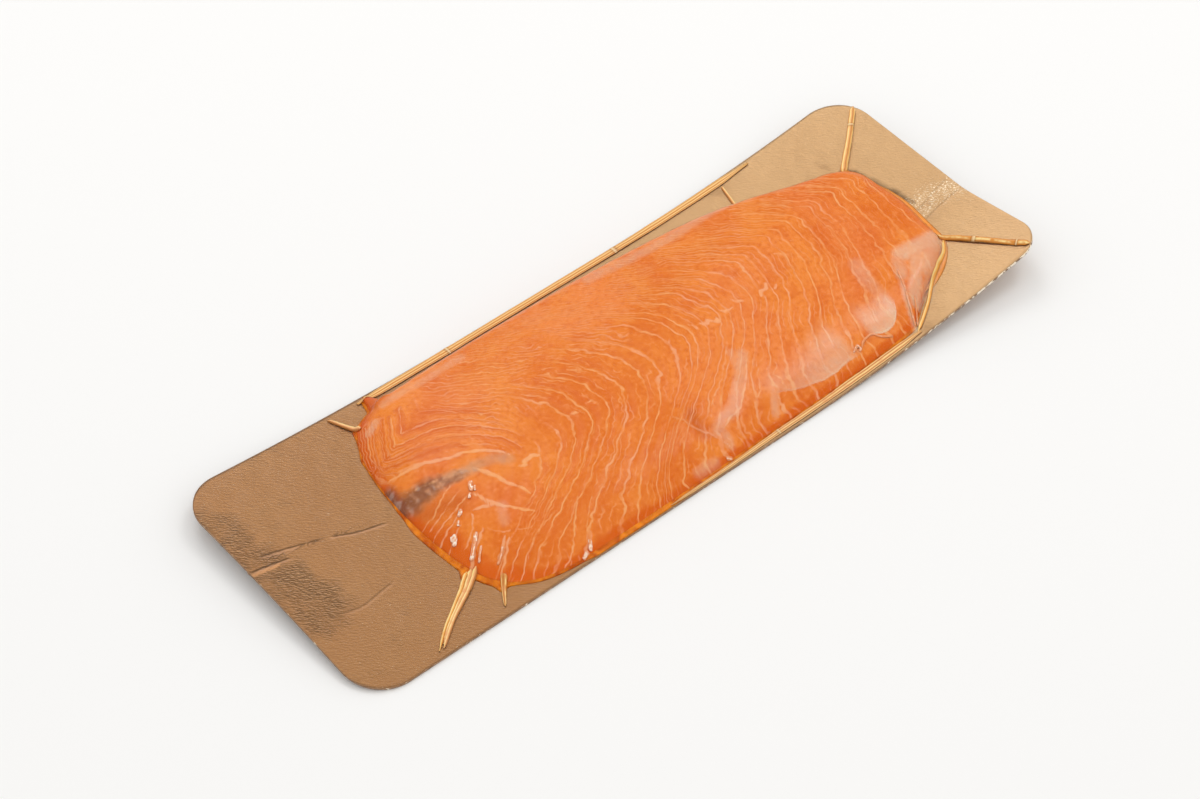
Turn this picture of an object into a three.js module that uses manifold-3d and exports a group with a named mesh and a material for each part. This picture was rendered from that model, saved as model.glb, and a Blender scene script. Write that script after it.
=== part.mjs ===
// A side of smoked salmon on a gold card, sealed under a clear skin film.
//
// Millimetres, +Z up. X runs along the card, from the bare end (-X) to the end with the blunt
// cut of the fillet (+X), and Y across it, from the near long edge (-Y) to the far one (+Y).
// The origin is the middle of the card, on the surface that it rests on. Three pieces:
//
//   board    laminated card with round corners, curled up at both ends by the pull of the film
//   salmon   the boned fillet, a low cushion with shallow grooves between its flakes
//   film     the clear skin that clings to fish and card, with gathered pleats and edge rolls
import * as THREE from "three";
import { mergeVertices } from "three/addons/utils/BufferGeometryUtils.js";
import Module from "manifold-3d";

const wasm = await Module();
wasm.setup();

// ---- sizes --------------------------------------------------------------------------------
const BOARD_LENGTH = 370;
const BOARD_WIDTH = 130;
const BOARD_THICKNESS = 1.2;
const CORNER_RADIUS = 19;
const RAISED_CORNER_RADIUS = 14; // the near corner of the +X end, cut a little tighter
const FLAT_HALF = 37; // the middle of the card lies flat out to here
const BARE_END_RISE = { near: 0, middle: 6.9, far: 8.9 };
const CUT_END_RISE = { near: 18.7, crease: 10.1, far: 12.3 };
const CREASE_Y = -14; // a soft fold runs along the card here, at the cut end
const CREASE_SOFTNESS = 4;

const FLESH_THICKNESS = 13;
const FLESH_RIM = 0.8; // the flesh ends all round in this low wall
const FLAKE_GROOVE = 0.55;
const FILM_THICKNESS = 0.35;
const GAP = 0.3; // free space left between two pieces that touch

const halfLength = BOARD_LENGTH / 2;
const halfWidth = BOARD_WIDTH / 2;

// ---- small helpers --------------------------------------------------------------------------
const clamp = (v, low, high) => Math.min(high, Math.max(low, v));
const mix = (a, b, t) => a + (b - a) * t;
const smooth = (t) => clamp(t, 0, 1) ** 2 * (3 - 2 * clamp(t, 0, 1));
const steps = (count) => Array.from({ length: count + 1 }, (_, k) => k / count);

// A smooth curve through a few [place, value] stops, flat beyond the first and the last.
function throughStops(stops) {
  const points = stops.map(([at, value]) => new THREE.Vector3(at, value, 0));
  const fine = new THREE.CatmullRomCurve3(points, false, "centripetal").getPoints(240);
  return (at) => {
    const next = fine.findIndex((p) => p.x >= at);
    if (next < 0) return fine[fine.length - 1].y;
    if (next === 0) return fine[0].y;
    const [a, b] = [fine[next - 1], fine[next]];
    return mix(a.y, b.y, (at - a.x) / Math.max(b.x - a.x, 1e-9));
  };
}

// A closed geometry of two sheets over one grid, joined round the rim. top(i, j) and
// under(i, j) give [x, y, z], with i from 0 to columns (+X) and j from 0 to rows (+Y).
function solidBetween(columns, rows, top, under) {
  const at = (i, j) => i * (rows + 1) + j;
  const lower = (columns + 1) * (rows + 1);
  const positions = [];
  for (const sheet of [top, under])
    for (let i = 0; i <= columns; i++)
      for (let j = 0; j <= rows; j++) positions.push(...sheet(i, j));
  const faces = [];
  for (let i = 0; i < columns; i++)
    for (let j = 0; j < rows; j++) {
      const [a, b, c, d] = [at(i, j), at(i + 1, j), at(i + 1, j + 1), at(i, j + 1)];
      faces.push(a, b, c, a, c, d);
      faces.push(a + lower, c + lower, b + lower, a + lower, d + lower, c + lower);
    }
  const rim = [];
  for (let i = 0; i < columns; i++) rim.push(at(i, 0));
  for (let j = 0; j < rows; j++) rim.push(at(columns, j));
  for (let i = columns; i > 0; i--) rim.push(at(i, rows));
  for (let j = rows; j > 0; j--) rim.push(at(0, j));
  rim.forEach((a, k) => {
    const b = rim[(k + 1) % rim.length];
    faces.push(b, a, a + lower, b, a + lower, b + lower);
  });
  return new THREE.BufferGeometry()
    .setAttribute("position", new THREE.Float32BufferAttribute(positions, 3))
    .setIndex(faces);
}

function toManifold(geometry) {
  const merged = mergeVertices(geometry, 1e-4);
  return new wasm.Manifold(
    new wasm.Mesh({
      numProp: 3,
      vertProperties: merged.attributes.position.array,
      triVerts: new Uint32Array(merged.index.array),
    }),
  );
}

function toGeometry(manifold) {
  const mesh = manifold.getMesh();
  return new THREE.BufferGeometry()
    .setAttribute("position", new THREE.BufferAttribute(mesh.vertProperties, 3))
    .setIndex(new THREE.BufferAttribute(mesh.triVerts, 1));
}

// ---- the card's form ------------------------------------------------------------------------
// Rise of the card's underside above the flat middle.
function curl(x, y) {
  const reach = (Math.abs(x) - FLAT_HALF) / (halfLength - FLAT_HALF);
  if (reach <= 0) return 0;
  let rise;
  if (x < 0) {
    const { near, middle, far } = BARE_END_RISE;
    const across = y / halfWidth;
    rise = middle + ((far - near) / 2) * across + ((near + far) / 2 - middle) * across ** 2;
  } else {
    const { near, crease, far } = CUT_END_RISE;
    const away = y - CREASE_Y;
    const bent = Math.hypot(away, CREASE_SOFTNESS) - CREASE_SOFTNESS;
    const [edgeRise, span] = away < 0 ? [near, halfWidth + CREASE_Y] : [far, halfWidth - CREASE_Y];
    rise = crease + (edgeRise - crease) * (bent / span);
  }
  return rise * reach ** 2;
}

const cardTop = (x, y) => BOARD_THICKNESS + curl(x, y);

// How far the card reaches to one side at x, with side -1 for near and 1 for far.
function reachAt(x, side) {
  const radius = x > 0 && side < 0 ? RAISED_CORNER_RADIUS : CORNER_RADIUS;
  const past = clamp(Math.abs(x) - (halfLength - radius), 0, radius);
  return halfWidth - radius + Math.sqrt(radius ** 2 - past ** 2);
}

// The place on the card at x, with across running from -1 at the near edge to 1 at the far one.
const acrossCard = (x, across) => across * reachAt(x, Math.sign(across) || 1);

// ---- the board --------------------------------------------------------------------------------
const CREASE_ACROSS = CREASE_Y / halfWidth;
const boardRows = [-1, -0.65, CREASE_ACROSS - 0.15, CREASE_ACROSS, CREASE_ACROSS + 0.15, 0.3, 0.65, 1];
const BOARD_SPAN_STEPS = 18;
const BOARD_CORNER_STEPS = 7;

function boardGeometry() {
  const straight = halfLength - CORNER_RADIUS;
  const round = steps(BOARD_CORNER_STEPS)
    .slice(1)
    .map((t) => straight + CORNER_RADIUS * Math.sin((t * Math.PI) / 2));
  const span = steps(BOARD_SPAN_STEPS).map((t) => mix(-straight, straight, t));
  const stations = [...round.map((x) => -x).reverse(), ...span, ...round];
  const sheet = (lift) => (i, j) => {
    const x = stations[i];
    const y = acrossCard(x, boardRows[j]);
    return [x, y, curl(x, y) + lift];
  };
  return solidBetween(
    stations.length - 1,
    boardRows.length - 1,
    sheet(BOARD_THICKNESS),
    sheet(0),
  );
}

// ---- the fillet -------------------------------------------------------------------------------
// Its outline on the card: the two ends as [y, x] stops, the two sides as [x, y] stops. They
// meet in the four corners of the fillet.
const bareEnd = throughStops([
  [-54, -105], [-47, -111], [-38, -114.5], [-20, -117],
  [0, -117.5], [20, -115.5], [36, -111.5], [50, -104],
]);
const cutEnd = throughStops([
  [-59.5, 112], [-49, 128], [-40, 146], [-32, 154], [-20, 157],
  [-4, 159], [8, 158], [18, 157], [27, 153],
]);
const nearSide = throughStops([
  [-105, -54], [-96, -59], [-83, -62], [-60, -62.6], [-20, -62.4],
  [30, -61.2], [90, -60.4], [112, -59.5],
]);
const farSide = throughStops([
  [-104, 50], [-94, 54.5], [-80, 56], [-30, 56.5], [20, 55.5],
  [56, 53], [86, 48.5], [106, 43], [128, 35], [153, 27],
]);
// How far in each side rounds off, and how steeply: 0.5 is a quarter circle, more is gentler.
const SHOULDER = { bare: 26, cut: 13, near: 32, far: 8.5 };
const SLACK = { bare: 0.8, cut: 0.6, near: 0.8, far: 0.5 };

// The flakes are chevrons with their points on a midline, all towards the cut end. The first
// and the last whole one bound the chevrons, and the flakes beyond them turn into the ends.
const BARE_TIP = bareEnd(-8);
const CUT_TIP = cutEnd(4);
const FIRST_CHEVRON = -30;
const LAST_CHEVRON = 100;
const CHEVRON_ROUND = 13;
const midline = (x) => mix(-10, 6, smooth((x + 30) / 150));
const chevronSlope = (pointX, away) =>
  away < 0 ? mix(1.12, 0.25, smooth((pointX - 25) / 110)) : mix(0.95, 1.1, smooth(pointX / 100));

const FISH_COLUMNS = 54;
const FISH_ROWS = 14;
const ROW_CROWDING = 0.86; // rows draw together towards both sides, where the flesh rounds off

// Flesh thickness before its edges round off: lower at the belly side and at both ends.
function fleshThickness(x, y) {
  const along = mix(0.7, 1, smooth((x + 120) / 85)) * mix(1, 0.74, smooth((x - 75) / 85));
  const across = mix(0.74, 1, smooth((y + 64) / 75)) * mix(1, 0.86, smooth((y - 22) / 36));
  return FLESH_THICKNESS * along * across;
}

const roundOff = (inside, side) =>
  (1 - (1 - clamp(inside / SHOULDER[side], 0, 1)) ** 2) ** SLACK[side];

function cushion(x, y) {
  return (
    fleshThickness(x, y) *
    roundOff(x - bareEnd(y), "bare") *
    roundOff(cutEnd(y) - x, "cut") *
    roundOff(y - nearSide(x), "near") *
    roundOff(farSide(x) - y, "far")
  );
}

function chevronAt(pointX, y) {
  const away = y - midline(pointX);
  return pointX - chevronSlope(pointX, away) * (Math.hypot(away, CHEVRON_ROUND) - CHEVRON_ROUND);
}

// Where the column whose point is at pointX lies at y.
function columnAt(pointX, y) {
  if (pointX < FIRST_CHEVRON) {
    const share = (pointX - BARE_TIP) / (FIRST_CHEVRON - BARE_TIP);
    return mix(bareEnd(y), chevronAt(FIRST_CHEVRON, y), share);
  }
  if (pointX > LAST_CHEVRON) {
    const share = (pointX - LAST_CHEVRON) / (CUT_TIP - LAST_CHEVRON);
    return mix(chevronAt(LAST_CHEVRON, y), cutEnd(y), share);
  }
  return chevronAt(pointX, y);
}

// A grid point's x depends on its y and the other way round, so both close in together.
function fishPoint(i, j) {
  const pointX = mix(BARE_TIP, CUT_TIP, i / FISH_COLUMNS);
  const even = j / FISH_ROWS;
  const share = mix(even, 0.5 - 0.5 * Math.cos(Math.PI * even), ROW_CROWDING);
  let [x, y] = [pointX, 0];
  for (let round = 0; round < 30; round++) {
    y = mix(y, mix(nearSide(x), farSide(x), share), 0.5);
    x = mix(x, columnAt(pointX, y), 0.5);
  }
  return [x, y];
}

const fishGrid = steps(FISH_COLUMNS).map((_, i) =>
  steps(FISH_ROWS).map((__, j) => fishPoint(i, j)),
);

// Every second column is a boundary between two flakes, where the flesh dips.
function fishTop(i, j) {
  const [x, y] = fishGrid[i][j];
  const height = cushion(x, y);
  const dip = i % 2 ? 0 : FLAKE_GROOVE * (height / FLESH_THICKNESS);
  return cardTop(x, y) + GAP + FLESH_RIM + height - dip;
}

function salmonGeometry() {
  return solidBetween(
    FISH_COLUMNS,
    FISH_ROWS,
    (i, j) => [...fishGrid[i][j], fishTop(i, j)],
    (i, j) => [...fishGrid[i][j], cardTop(...fishGrid[i][j]) + GAP],
  );
}

// ---- the film ---------------------------------------------------------------------------------
const SIDE_ROWS = 4; // rows of the film between the fish and a long edge of the card
const END_COLUMNS = 11; // columns between the fish and an end of the card
const FOOT = 3; // the film comes down to the card this far outside the fish
const ROLL_WIDTH = 3.2; // the film is rolled up along stretches of both long edges
const ROLL_HEIGHT = 1.1;
const ROLLED = { near: [0, 112], far: [-90, 125] };
const FILM_COLUMNS = FISH_COLUMNS + 2 * END_COLUMNS;
const FILM_ROWS = FISH_ROWS + 2 * SIDE_ROWS;

// The film's places above the fish's own columns, carried on to the card's long edges: the
// film's foot, the inner side of the roll, its crest and the edge itself.
function overFish(i, row) {
  const j = row - SIDE_ROWS;
  if (j >= 0 && j <= FISH_ROWS) return fishGrid[i][j];
  const side = j < 0 ? -1 : 1;
  const outside = j < 0 ? -j : j - FISH_ROWS;
  const [x, y] = fishGrid[i][j < 0 ? 0 : FISH_ROWS];
  const edge = reachAt(x, side);
  const room = edge - Math.abs(y);
  const places = [
    Math.abs(y) + Math.min(FOOT, 0.3 * room),
    edge - Math.min(ROLL_WIDTH, 0.55 * room),
    edge - Math.min(ROLL_WIDTH / 2, 0.28 * room),
    edge,
  ];
  return [x, side * places[outside - 1]];
}

// Rise of the roll's crest at x, which fades in and out over a few millimetres.
function rollRise(x, row) {
  if (row !== 1 && row !== FILM_ROWS - 1) return 0;
  const [from, to] = row === 1 ? ROLLED.near : ROLLED.far;
  return ROLL_HEIGHT * smooth((x - from) / 8) * smooth((to - x) / 8);
}

// How far each end column has gone from the fish (0) to the card's end (1): one step at the
// film's foot, then even steps, then closer ones round the corner.
function endShare(k, length) {
  if (k === 0) return 0;
  const foot = FOOT / length;
  const corner = 1 - CORNER_RADIUS / length;
  const evenSteps = 5;
  if (k <= evenSteps) return mix(foot, corner, (k - 1) / (evenSteps - 1));
  const turn = ((k - evenSteps) / (END_COLUMNS - evenSteps)) * (Math.PI / 2);
  return mix(corner, 1, Math.sin(turn));
}

function filmPlace(i, row) {
  const column = i - END_COLUMNS;
  if (column >= 0 && column <= FISH_COLUMNS) return overFish(column, row);
  const end = column < 0 ? -1 : 1;
  const outside = column < 0 ? -column : column - FISH_COLUMNS;
  const [x, y] = overFish(column < 0 ? 0 : FISH_COLUMNS, row);
  const share = endShare(outside, Math.abs(end * halfLength - x));
  const startAcross = y / reachAt(x, Math.sign(y) || 1);
  const endAcross = mix(-1, 1, row / FILM_ROWS);
  const placeX = mix(x, end * halfLength, share);
  return [placeX, acrossCard(placeX, mix(startAcross, endAcross, share ** 2))];
}

function filmUnder(i, row) {
  const [column, j] = [i - END_COLUMNS, row - SIDE_ROWS];
  const overFlesh = column >= 0 && column <= FISH_COLUMNS && j >= 0 && j <= FISH_ROWS;
  if (overFlesh) return fishTop(column, j) + GAP;
  const [x, y] = filmPlace(i, row);
  return cardTop(x, y) + GAP + rollRise(x, row);
}

const filmGrid = steps(FILM_COLUMNS).map((_, i) =>
  steps(FILM_ROWS).map((__, row) => new THREE.Vector3(...filmPlace(i, row), filmUnder(i, row))),
);

function skinGeometry() {
  const sheet = (lift) => (i, row) => {
    const { x, y, z } = filmGrid[i][row];
    return [x, y, z + lift];
  };
  return solidBetween(FILM_COLUMNS, FILM_ROWS, sheet(FILM_THICKNESS), sheet(0));
}

// The film's underside at any place, read off the triangles of its own grid.
const flatTriangles = [];
for (let i = 0; i < FILM_COLUMNS; i++)
  for (let row = 0; row < FILM_ROWS; row++) {
    const [a, b] = [filmGrid[i][row], filmGrid[i + 1][row]];
    const [c, d] = [filmGrid[i + 1][row + 1], filmGrid[i][row + 1]];
    flatTriangles.push(new THREE.Triangle(a, b, c), new THREE.Triangle(a, c, d));
  }

function skinUnderAt(x, y) {
  for (const { a, b, c } of flatTriangles) {
    const flat = [a, b, c].map((p) => new THREE.Vector3(p.x, p.y, 0));
    const shares = THREE.Triangle.getBarycoord(new THREE.Vector3(x, y, 0), ...flat, new THREE.Vector3());
    if (!shares || Math.min(shares.x, shares.y, shares.z) < -1e-6) continue;
    return a.z * shares.x + b.z * shares.y + c.z * shares.z;
  }
  return cardTop(x, y) + GAP;
}

// A raised ridge of the film along a line of [x, y] places: height and width are [start, end].
// Its flat foot lies just under the film, still clear of the card, so that the two join as one.
const RIDGE_ROWS = 5;
const RIDGE_SINK = 0.1;
function ridge({ places, height, width, count = 10 }) {
  const points = places.map(([x, y]) => new THREE.Vector3(x, y, 0));
  const line = new THREE.CatmullRomCurve3(points, false, "centripetal");
  const foot = (i, j) => {
    const t = i / count;
    const { x, y } = line.getPoint(t);
    const ahead = line.getTangent(t);
    const off = mix(-0.5, 0.5, j / RIDGE_ROWS) * mix(...width, t);
    return [x - ahead.y * off, y + ahead.x * off];
  };
  const footHeight = (i, j) => skinUnderAt(...foot(i, j)) - RIDGE_SINK;
  const crest = (i, j) => {
    const rise = mix(...height, i / count) * Math.sin((Math.PI * j) / RIDGE_ROWS);
    return footHeight(i, j) + RIDGE_SINK + FILM_THICKNESS + rise;
  };
  return solidBetween(
    count,
    RIDGE_ROWS,
    (i, j) => [...foot(i, j), crest(i, j)],
    (i, j) => [...foot(i, j), footHeight(i, j)],
  );
}

const pleats = [
  // one from each corner of the fish to the corner of the card
  { places: [[155, 30], [168, 40], [178.5, 50.5]], height: [2.6, 1.6], width: [3.4, 2.8] },
  { places: [[158.5, -36], [168, -46], [175.5, -54.5]], height: [3, 1.8], width: [3.4, 3] },
  { places: [[-118, -43], [-134, -53], [-150, -62]], height: [3.2, 1.2], width: [5, 2.2] },
  // short ones across the narrow strips along the long edges
  { places: [[-107, -58], [-110, -61], [-113, -63.5]], height: [2.4, 0.8], width: [5, 1.4], count: 4 },
  { places: [[-106.5, 55], [-108, 59], [-109.5, 63]], height: [2, 1], width: [2.8, 2], count: 4 },
  { places: [[107, 48], [108.5, 54], [110, 61]], height: [1.4, 0.8], width: [2, 1.6], count: 5 },
];

const TIDY = 0.02; // smallest step that the joined film keeps

function filmGeometry() {
  const ridges = pleats.map((shape) => toManifold(ridge(shape)));
  const joined = ridges.reduce((whole, one) => whole.add(one), toManifold(skinGeometry()));
  return toGeometry(joined.simplify(TIDY));
}

// ---- the pack ---------------------------------------------------------------------------------
const group = new THREE.Group();
function add(name, geometry, finish) {
  const mesh = new THREE.Mesh(geometry, new THREE.MeshStandardMaterial(finish));
  mesh.name = name;
  group.add(mesh);
}

add("board", boardGeometry(), { color: 0xc99f6e, roughness: 0.4, metalness: 0.9 });
add("salmon", salmonGeometry(), { color: 0xe8824a, roughness: 0.35, metalness: 0 });
add("film", filmGeometry(), { color: 0xf3e6d8, roughness: 0.08, metalness: 0 });

export default group;
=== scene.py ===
import math
from functools import partial

import bmesh
import bpy
import numpy as np
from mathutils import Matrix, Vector


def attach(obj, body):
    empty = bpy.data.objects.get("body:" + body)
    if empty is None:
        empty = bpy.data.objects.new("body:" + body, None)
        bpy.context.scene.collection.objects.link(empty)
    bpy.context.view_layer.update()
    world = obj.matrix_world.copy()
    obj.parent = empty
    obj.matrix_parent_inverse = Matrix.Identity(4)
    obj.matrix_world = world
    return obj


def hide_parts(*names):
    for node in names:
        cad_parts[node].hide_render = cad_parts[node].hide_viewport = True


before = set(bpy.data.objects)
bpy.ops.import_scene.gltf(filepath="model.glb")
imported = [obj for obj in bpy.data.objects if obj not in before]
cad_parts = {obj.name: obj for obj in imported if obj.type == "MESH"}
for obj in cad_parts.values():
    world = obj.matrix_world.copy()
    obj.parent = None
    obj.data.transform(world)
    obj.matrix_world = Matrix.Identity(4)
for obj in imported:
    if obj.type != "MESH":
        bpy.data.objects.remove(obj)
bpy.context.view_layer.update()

# ---- Camera and studio ------------------------------------------------------------------------
# The pack lies on a plain pale floor in soft light: an even glow all round, a softbox behind the
# cut end and a smaller one high to its right. The camera looks down along the pack.
MM = 0.001  # sizes and places in this script are millimetres, the scene is in metres
AZIMUTH, ELEVATION = math.radians(-40.516), math.radians(47.48)
TARGET = Vector((-13.15, 0.42, 0)) * MM
CAMERA_DISTANCE = 1346.27 * MM
BACK = Vector((
    math.sin(AZIMUTH) * math.cos(ELEVATION),
    -math.cos(AZIMUTH) * math.cos(ELEVATION),
    math.sin(ELEVATION),
))


def colour(hex_code):
    """The linear colour of an sRGB hex code, with full alpha."""
    parts = [int(hex_code[k:k + 2], 16) / 255 for k in (1, 3, 5)]
    return [p / 12.92 if p <= 0.04045 else ((p + 0.055) / 1.055) ** 2.4 for p in parts] + [1]


def add_node(material, kind, *values, out=0, **settings):
    """Adds a shader node, or the Math node of an operation in capitals, and gives one output.

    Its values go to its inputs in turn, or by name from a dictionary. Each is a number, a vector,
    a hex code, or an output to link from.
    """
    if kind.isupper():
        kind, settings["operation"] = "Math", kind
    made = material.node_tree.nodes.new("ShaderNode" + kind)
    for name, value in settings.items():
        setattr(made, name, value)
    named = values[0] if values and isinstance(values[0], dict) else dict(enumerate(values))
    for name, value in named.items():
        if isinstance(value, bpy.types.NodeSocket):
            material.node_tree.links.new(value, made.inputs[name])
        else:
            made.inputs[name].default_value = colour(value) if isinstance(value, str) else value
    return made.outputs[out] if made.outputs else made


def new_material(name):
    material = bpy.data.materials.new(name)
    material.use_nodes = True
    material.node_tree.nodes.clear()
    return material


def keep_object(name, data):
    made = bpy.data.objects.new(name, data)
    bpy.context.scene.collection.objects.link(made)
    return made


lens = bpy.data.cameras.new("camera")
lens.lens = 96
lens.sensor_width = 36
camera = keep_object("camera", lens)
camera.location = TARGET + BACK * CAMERA_DISTANCE
camera.rotation_euler = BACK.to_track_quat("Z", "Y").to_euler()
bpy.context.scene.camera = camera
bpy.context.scene.view_settings.view_transform = "Standard"


def softbox(name, place, size, power):
    light = bpy.data.lights.new(name, "AREA")
    light.shape = "RECTANGLE"
    light.size, light.size_y = size
    light.energy = power
    box = keep_object(name, light)
    box.location = place
    box.rotation_euler = Vector(place).to_track_quat("Z", "Y").to_euler()


softbox("softbox_behind", (0.36, 1.12, 1.37), (0.75, 0.75), 4)
softbox("softbox_right", (0.9, -0.02, 1.6), (0.45, 0.5), 3.2)

studio = bpy.data.worlds.new("studio")
studio.use_nodes = True
studio.node_tree.nodes["Background"].inputs["Color"].default_value = colour("#FFFFFF")
studio.node_tree.nodes["Background"].inputs["Strength"].default_value = 0.88
bpy.context.scene.world = studio

floor_mesh = bmesh.new()
bmesh.ops.create_grid(floor_mesh, x_segments=1, y_segments=1, size=4)
floor_data = bpy.data.meshes.new("floor")
floor_mesh.to_mesh(floor_data)
floor_mesh.free()
floor = keep_object("floor", floor_data)
paper = new_material("matt_paper")
paper_skin = add_node(paper, "BsdfPrincipled", {"Base Color": "#F6F5F3", "Roughness": 0.9})
add_node(paper, "OutputMaterial", paper_skin)
floor_data.materials.append(paper)

# ---- Gold board ---------------------------------------------------------------------------------
# The card that carries the fish: laminated board with satin gold foil on its face, 1.2 mm thick,
# punched out with round corners. The shrinking film has pulled both of its ends up.
BOARD_LENGTH = 370
BOARD_WIDTH = 130
BOARD_THICKNESS = 1.2
CORNER_RADIUS = 19
RAISED_CORNER_RADIUS = 14  # the near corner of the +X end
FLAT_HALF = 37
BARE_END_RISE = (0, 6.9, 8.9)  # at the near edge, in the middle and at the far edge
CUT_END_RISE = (18.7, 10.1, 12.3)  # at the near edge, on the crease and at the far edge
CREASE_Y = -14  # the +X end is folded lightly along this line
CREASE_SOFTNESS = 4
HALF_LENGTH = BOARD_LENGTH / 2
HALF_WIDTH = BOARD_WIDTH / 2


def mix(a, b, share):
    return a + (b - a) * share


def smooth(t):
    t = np.clip(t, 0, 1)
    return t * t * (3 - 2 * t)


def curl(x, y):
    """How far the card's underside has risen off the floor."""
    reach = np.clip((np.abs(x) - FLAT_HALF) / (HALF_LENGTH - FLAT_HALF), 0, None)
    near, middle, far = BARE_END_RISE
    across = y / HALF_WIDTH
    bare = middle + (far - near) / 2 * across + ((near + far) / 2 - middle) * across**2
    near, crease, far = CUT_END_RISE
    away = y - CREASE_Y
    bent = np.hypot(away, CREASE_SOFTNESS) - CREASE_SOFTNESS
    rise = np.where(away < 0, near - crease, far - crease)
    cut = crease + rise * bent / np.where(away < 0, HALF_WIDTH + CREASE_Y, HALF_WIDTH - CREASE_Y)
    return np.where(x < 0, bare, cut) * reach**2


def card_top(x, y):
    return BOARD_THICKNESS + curl(x, y)


def reach_at(x, y):
    """How far the card reaches from its middle line at x, on the side where y is."""
    radius = np.where((x > 0) & (y < 0), RAISED_CORNER_RADIUS, CORNER_RADIUS)
    past = np.clip(np.abs(x) - (HALF_LENGTH - radius), 0, radius)
    return HALF_WIDTH - radius + np.sqrt(radius**2 - past**2)


def card_place(u, v):
    """A place on the card, from shares along and across it that crowd up in the corners."""
    straight = HALF_LENGTH - CORNER_RADIUS
    along = (2 * u - 1) * (straight + CORNER_RADIUS * math.pi / 2)
    turn = np.clip(np.abs(along) - straight, 0, None) / CORNER_RADIUS
    x = np.sign(along) * (np.minimum(np.abs(along), straight) + CORNER_RADIUS * np.sin(turn))
    across = 2 * v - 1
    return x, across * reach_at(x, across)


def bent_grid(name, columns, rows, place, capped=False):
    """A piece made of one grid of faces, bent by place(u, v), whose ends can be capped.

    It keeps u and v at each of its points as the attributes "along" and "across".
    """
    bm = bmesh.new()
    bmesh.ops.create_grid(bm, x_segments=columns, y_segments=rows, size=0.5)
    flat = np.array([vert.co for vert in bm.verts]) + 0.5
    spots = np.stack(place(flat[:, 0], flat[:, 1]), axis=1) * MM
    along, across = (bm.verts.layers.float.new(share) for share in ("along", "across"))
    for vert, spot, (u, v, _) in zip(bm.verts, spots, flat):
        vert.co = spot
        vert[along], vert[across] = u, v
    bmesh.ops.remove_doubles(bm, verts=bm.verts, dist=0.001 * MM)
    if capped:
        bmesh.ops.holes_fill(bm, edges=[e for e in bm.edges if e.is_boundary], sides=0)
        bmesh.ops.recalc_face_normals(bm, faces=bm.faces)
    mesh = bpy.data.meshes.new(name)
    bm.to_mesh(mesh)
    bm.free()
    mesh.shade_smooth()
    return keep_object(name, mesh)


def places(piece):
    """x and y of all the piece's points, in millimetres."""
    flat = np.zeros(len(piece.data.vertices) * 3)
    piece.data.vertices.foreach_get("co", flat)
    return flat[0::3] / MM, flat[1::3] / MM


def store(piece, name, values):
    """Keeps one number for each of the piece's points, for its material to read."""
    attribute = piece.data.attributes.new(name, "FLOAT", "POINT")
    attribute.data.foreach_set("value", np.broadcast_to(values, len(piece.data.vertices)))


def read(piece, name):
    """A number that is kept for each of the piece's points."""
    values = np.empty(len(piece.data.vertices), np.float32)
    piece.data.attributes[name].data.foreach_get("value", values)
    return values


def through_stops(stops):
    """A smooth curve through a few (place, value) stops, flat beyond the first and the last."""
    points = np.array(stops, float)
    points = np.vstack([2 * points[0] - points[1], points, 2 * points[-1] - points[-2]])
    gaps = np.sqrt(np.hypot(*np.diff(points, axis=0).T))
    line = []
    for k in range(1, len(points) - 2):
        before, start, end, after = points[k - 1:k + 3]
        a, b, c = gaps[k - 1:k + 2]
        leaving = b * ((start - before) / a - (end - before) / (a + b) + (end - start) / b)
        arriving = b * ((end - start) / b - (after - start) / (b + c) + (after - end) / c)
        t = np.linspace(0, 1, 25)[:, None]
        line.append(
            (2 * t**3 - 3 * t**2 + 1) * start + (t**3 - 2 * t**2 + t) * leaving
            + (3 * t**2 - 2 * t**3) * end + (t**3 - t**2) * arriving
        )
    line = np.vstack(line)
    return lambda at: np.interp(at, line[:, 0], line[:, 1])


def line_distance(x, y, points):
    """Distance to a line of [x, y] points, and the share of its length at the closest place."""
    points = np.array(points, float)
    lengths = np.hypot(*np.diff(points, axis=0).T)
    nearest = np.full(np.shape(x), 1e9)
    share = np.zeros(np.shape(x))
    for k, length in enumerate(lengths):
        (ax, ay), (bx, by) = points[k:k + 2]
        t = np.clip(((x - ax) * (bx - ax) + (y - ay) * (by - ay)) / length**2, 0, 1)
        distance = np.hypot(x - mix(ax, bx, t), y - mix(ay, by, t))
        share = np.where(distance < nearest, (lengths[:k].sum() + t * length) / lengths.sum(), share)
        nearest = np.minimum(nearest, distance)
    return nearest, share


# Creases that the pull of the film has left in the card: places along each, and how deep.
BOARD_CREASES = [
    ([(-185, 13.4), (-180, 13), (-174, 12.3), (-167, 10.9)], 0.5),
    ([(-176.5, 18.6), (-164, 15.2), (-154.4, 12.6), (-146.4, 10), (-139, 6.6), (-124.8, 2.6)], 0.35),
    ([(-167, -24.4), (-158, -25.6), (-150, -24.3), (-141.7, -23)], 0.18),
    ([(160, -11), (172, -8), (184, -6)], 0.1),
    ([(158, -17), (171, -15), (184, -14)], 0.12),
]
FADE = 4  # length over which a crease dies away
CREASE_HALF = 0.9  # half the width of a crease


def crease_offset(x, y, points):
    """How far a place lies beyond a crease, and how strong the crease is there."""
    strength = smooth((x - points[0][0]) / FADE + 0.3) * smooth((points[-1][0] - x) / FADE + 0.3)
    return y - through_stops(points)(x), strength


def board_face(u, v):
    x, y = card_place(u, v)
    z = card_top(x, y)
    for points, depth in BOARD_CREASES:
        offset, strength = crease_offset(x, y, points)
        z = z - depth * strength * np.exp(-(offset / CREASE_HALF) ** 2)
    return x, y, z


def fall_off(distance, half, top):
    """Falls evenly from top on a line to nothing, by one for each half width away from it.

    So a material can draw the line's edge sharply between the points of the mesh.
    """
    return np.clip(top - distance / half, 0, top)


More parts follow.
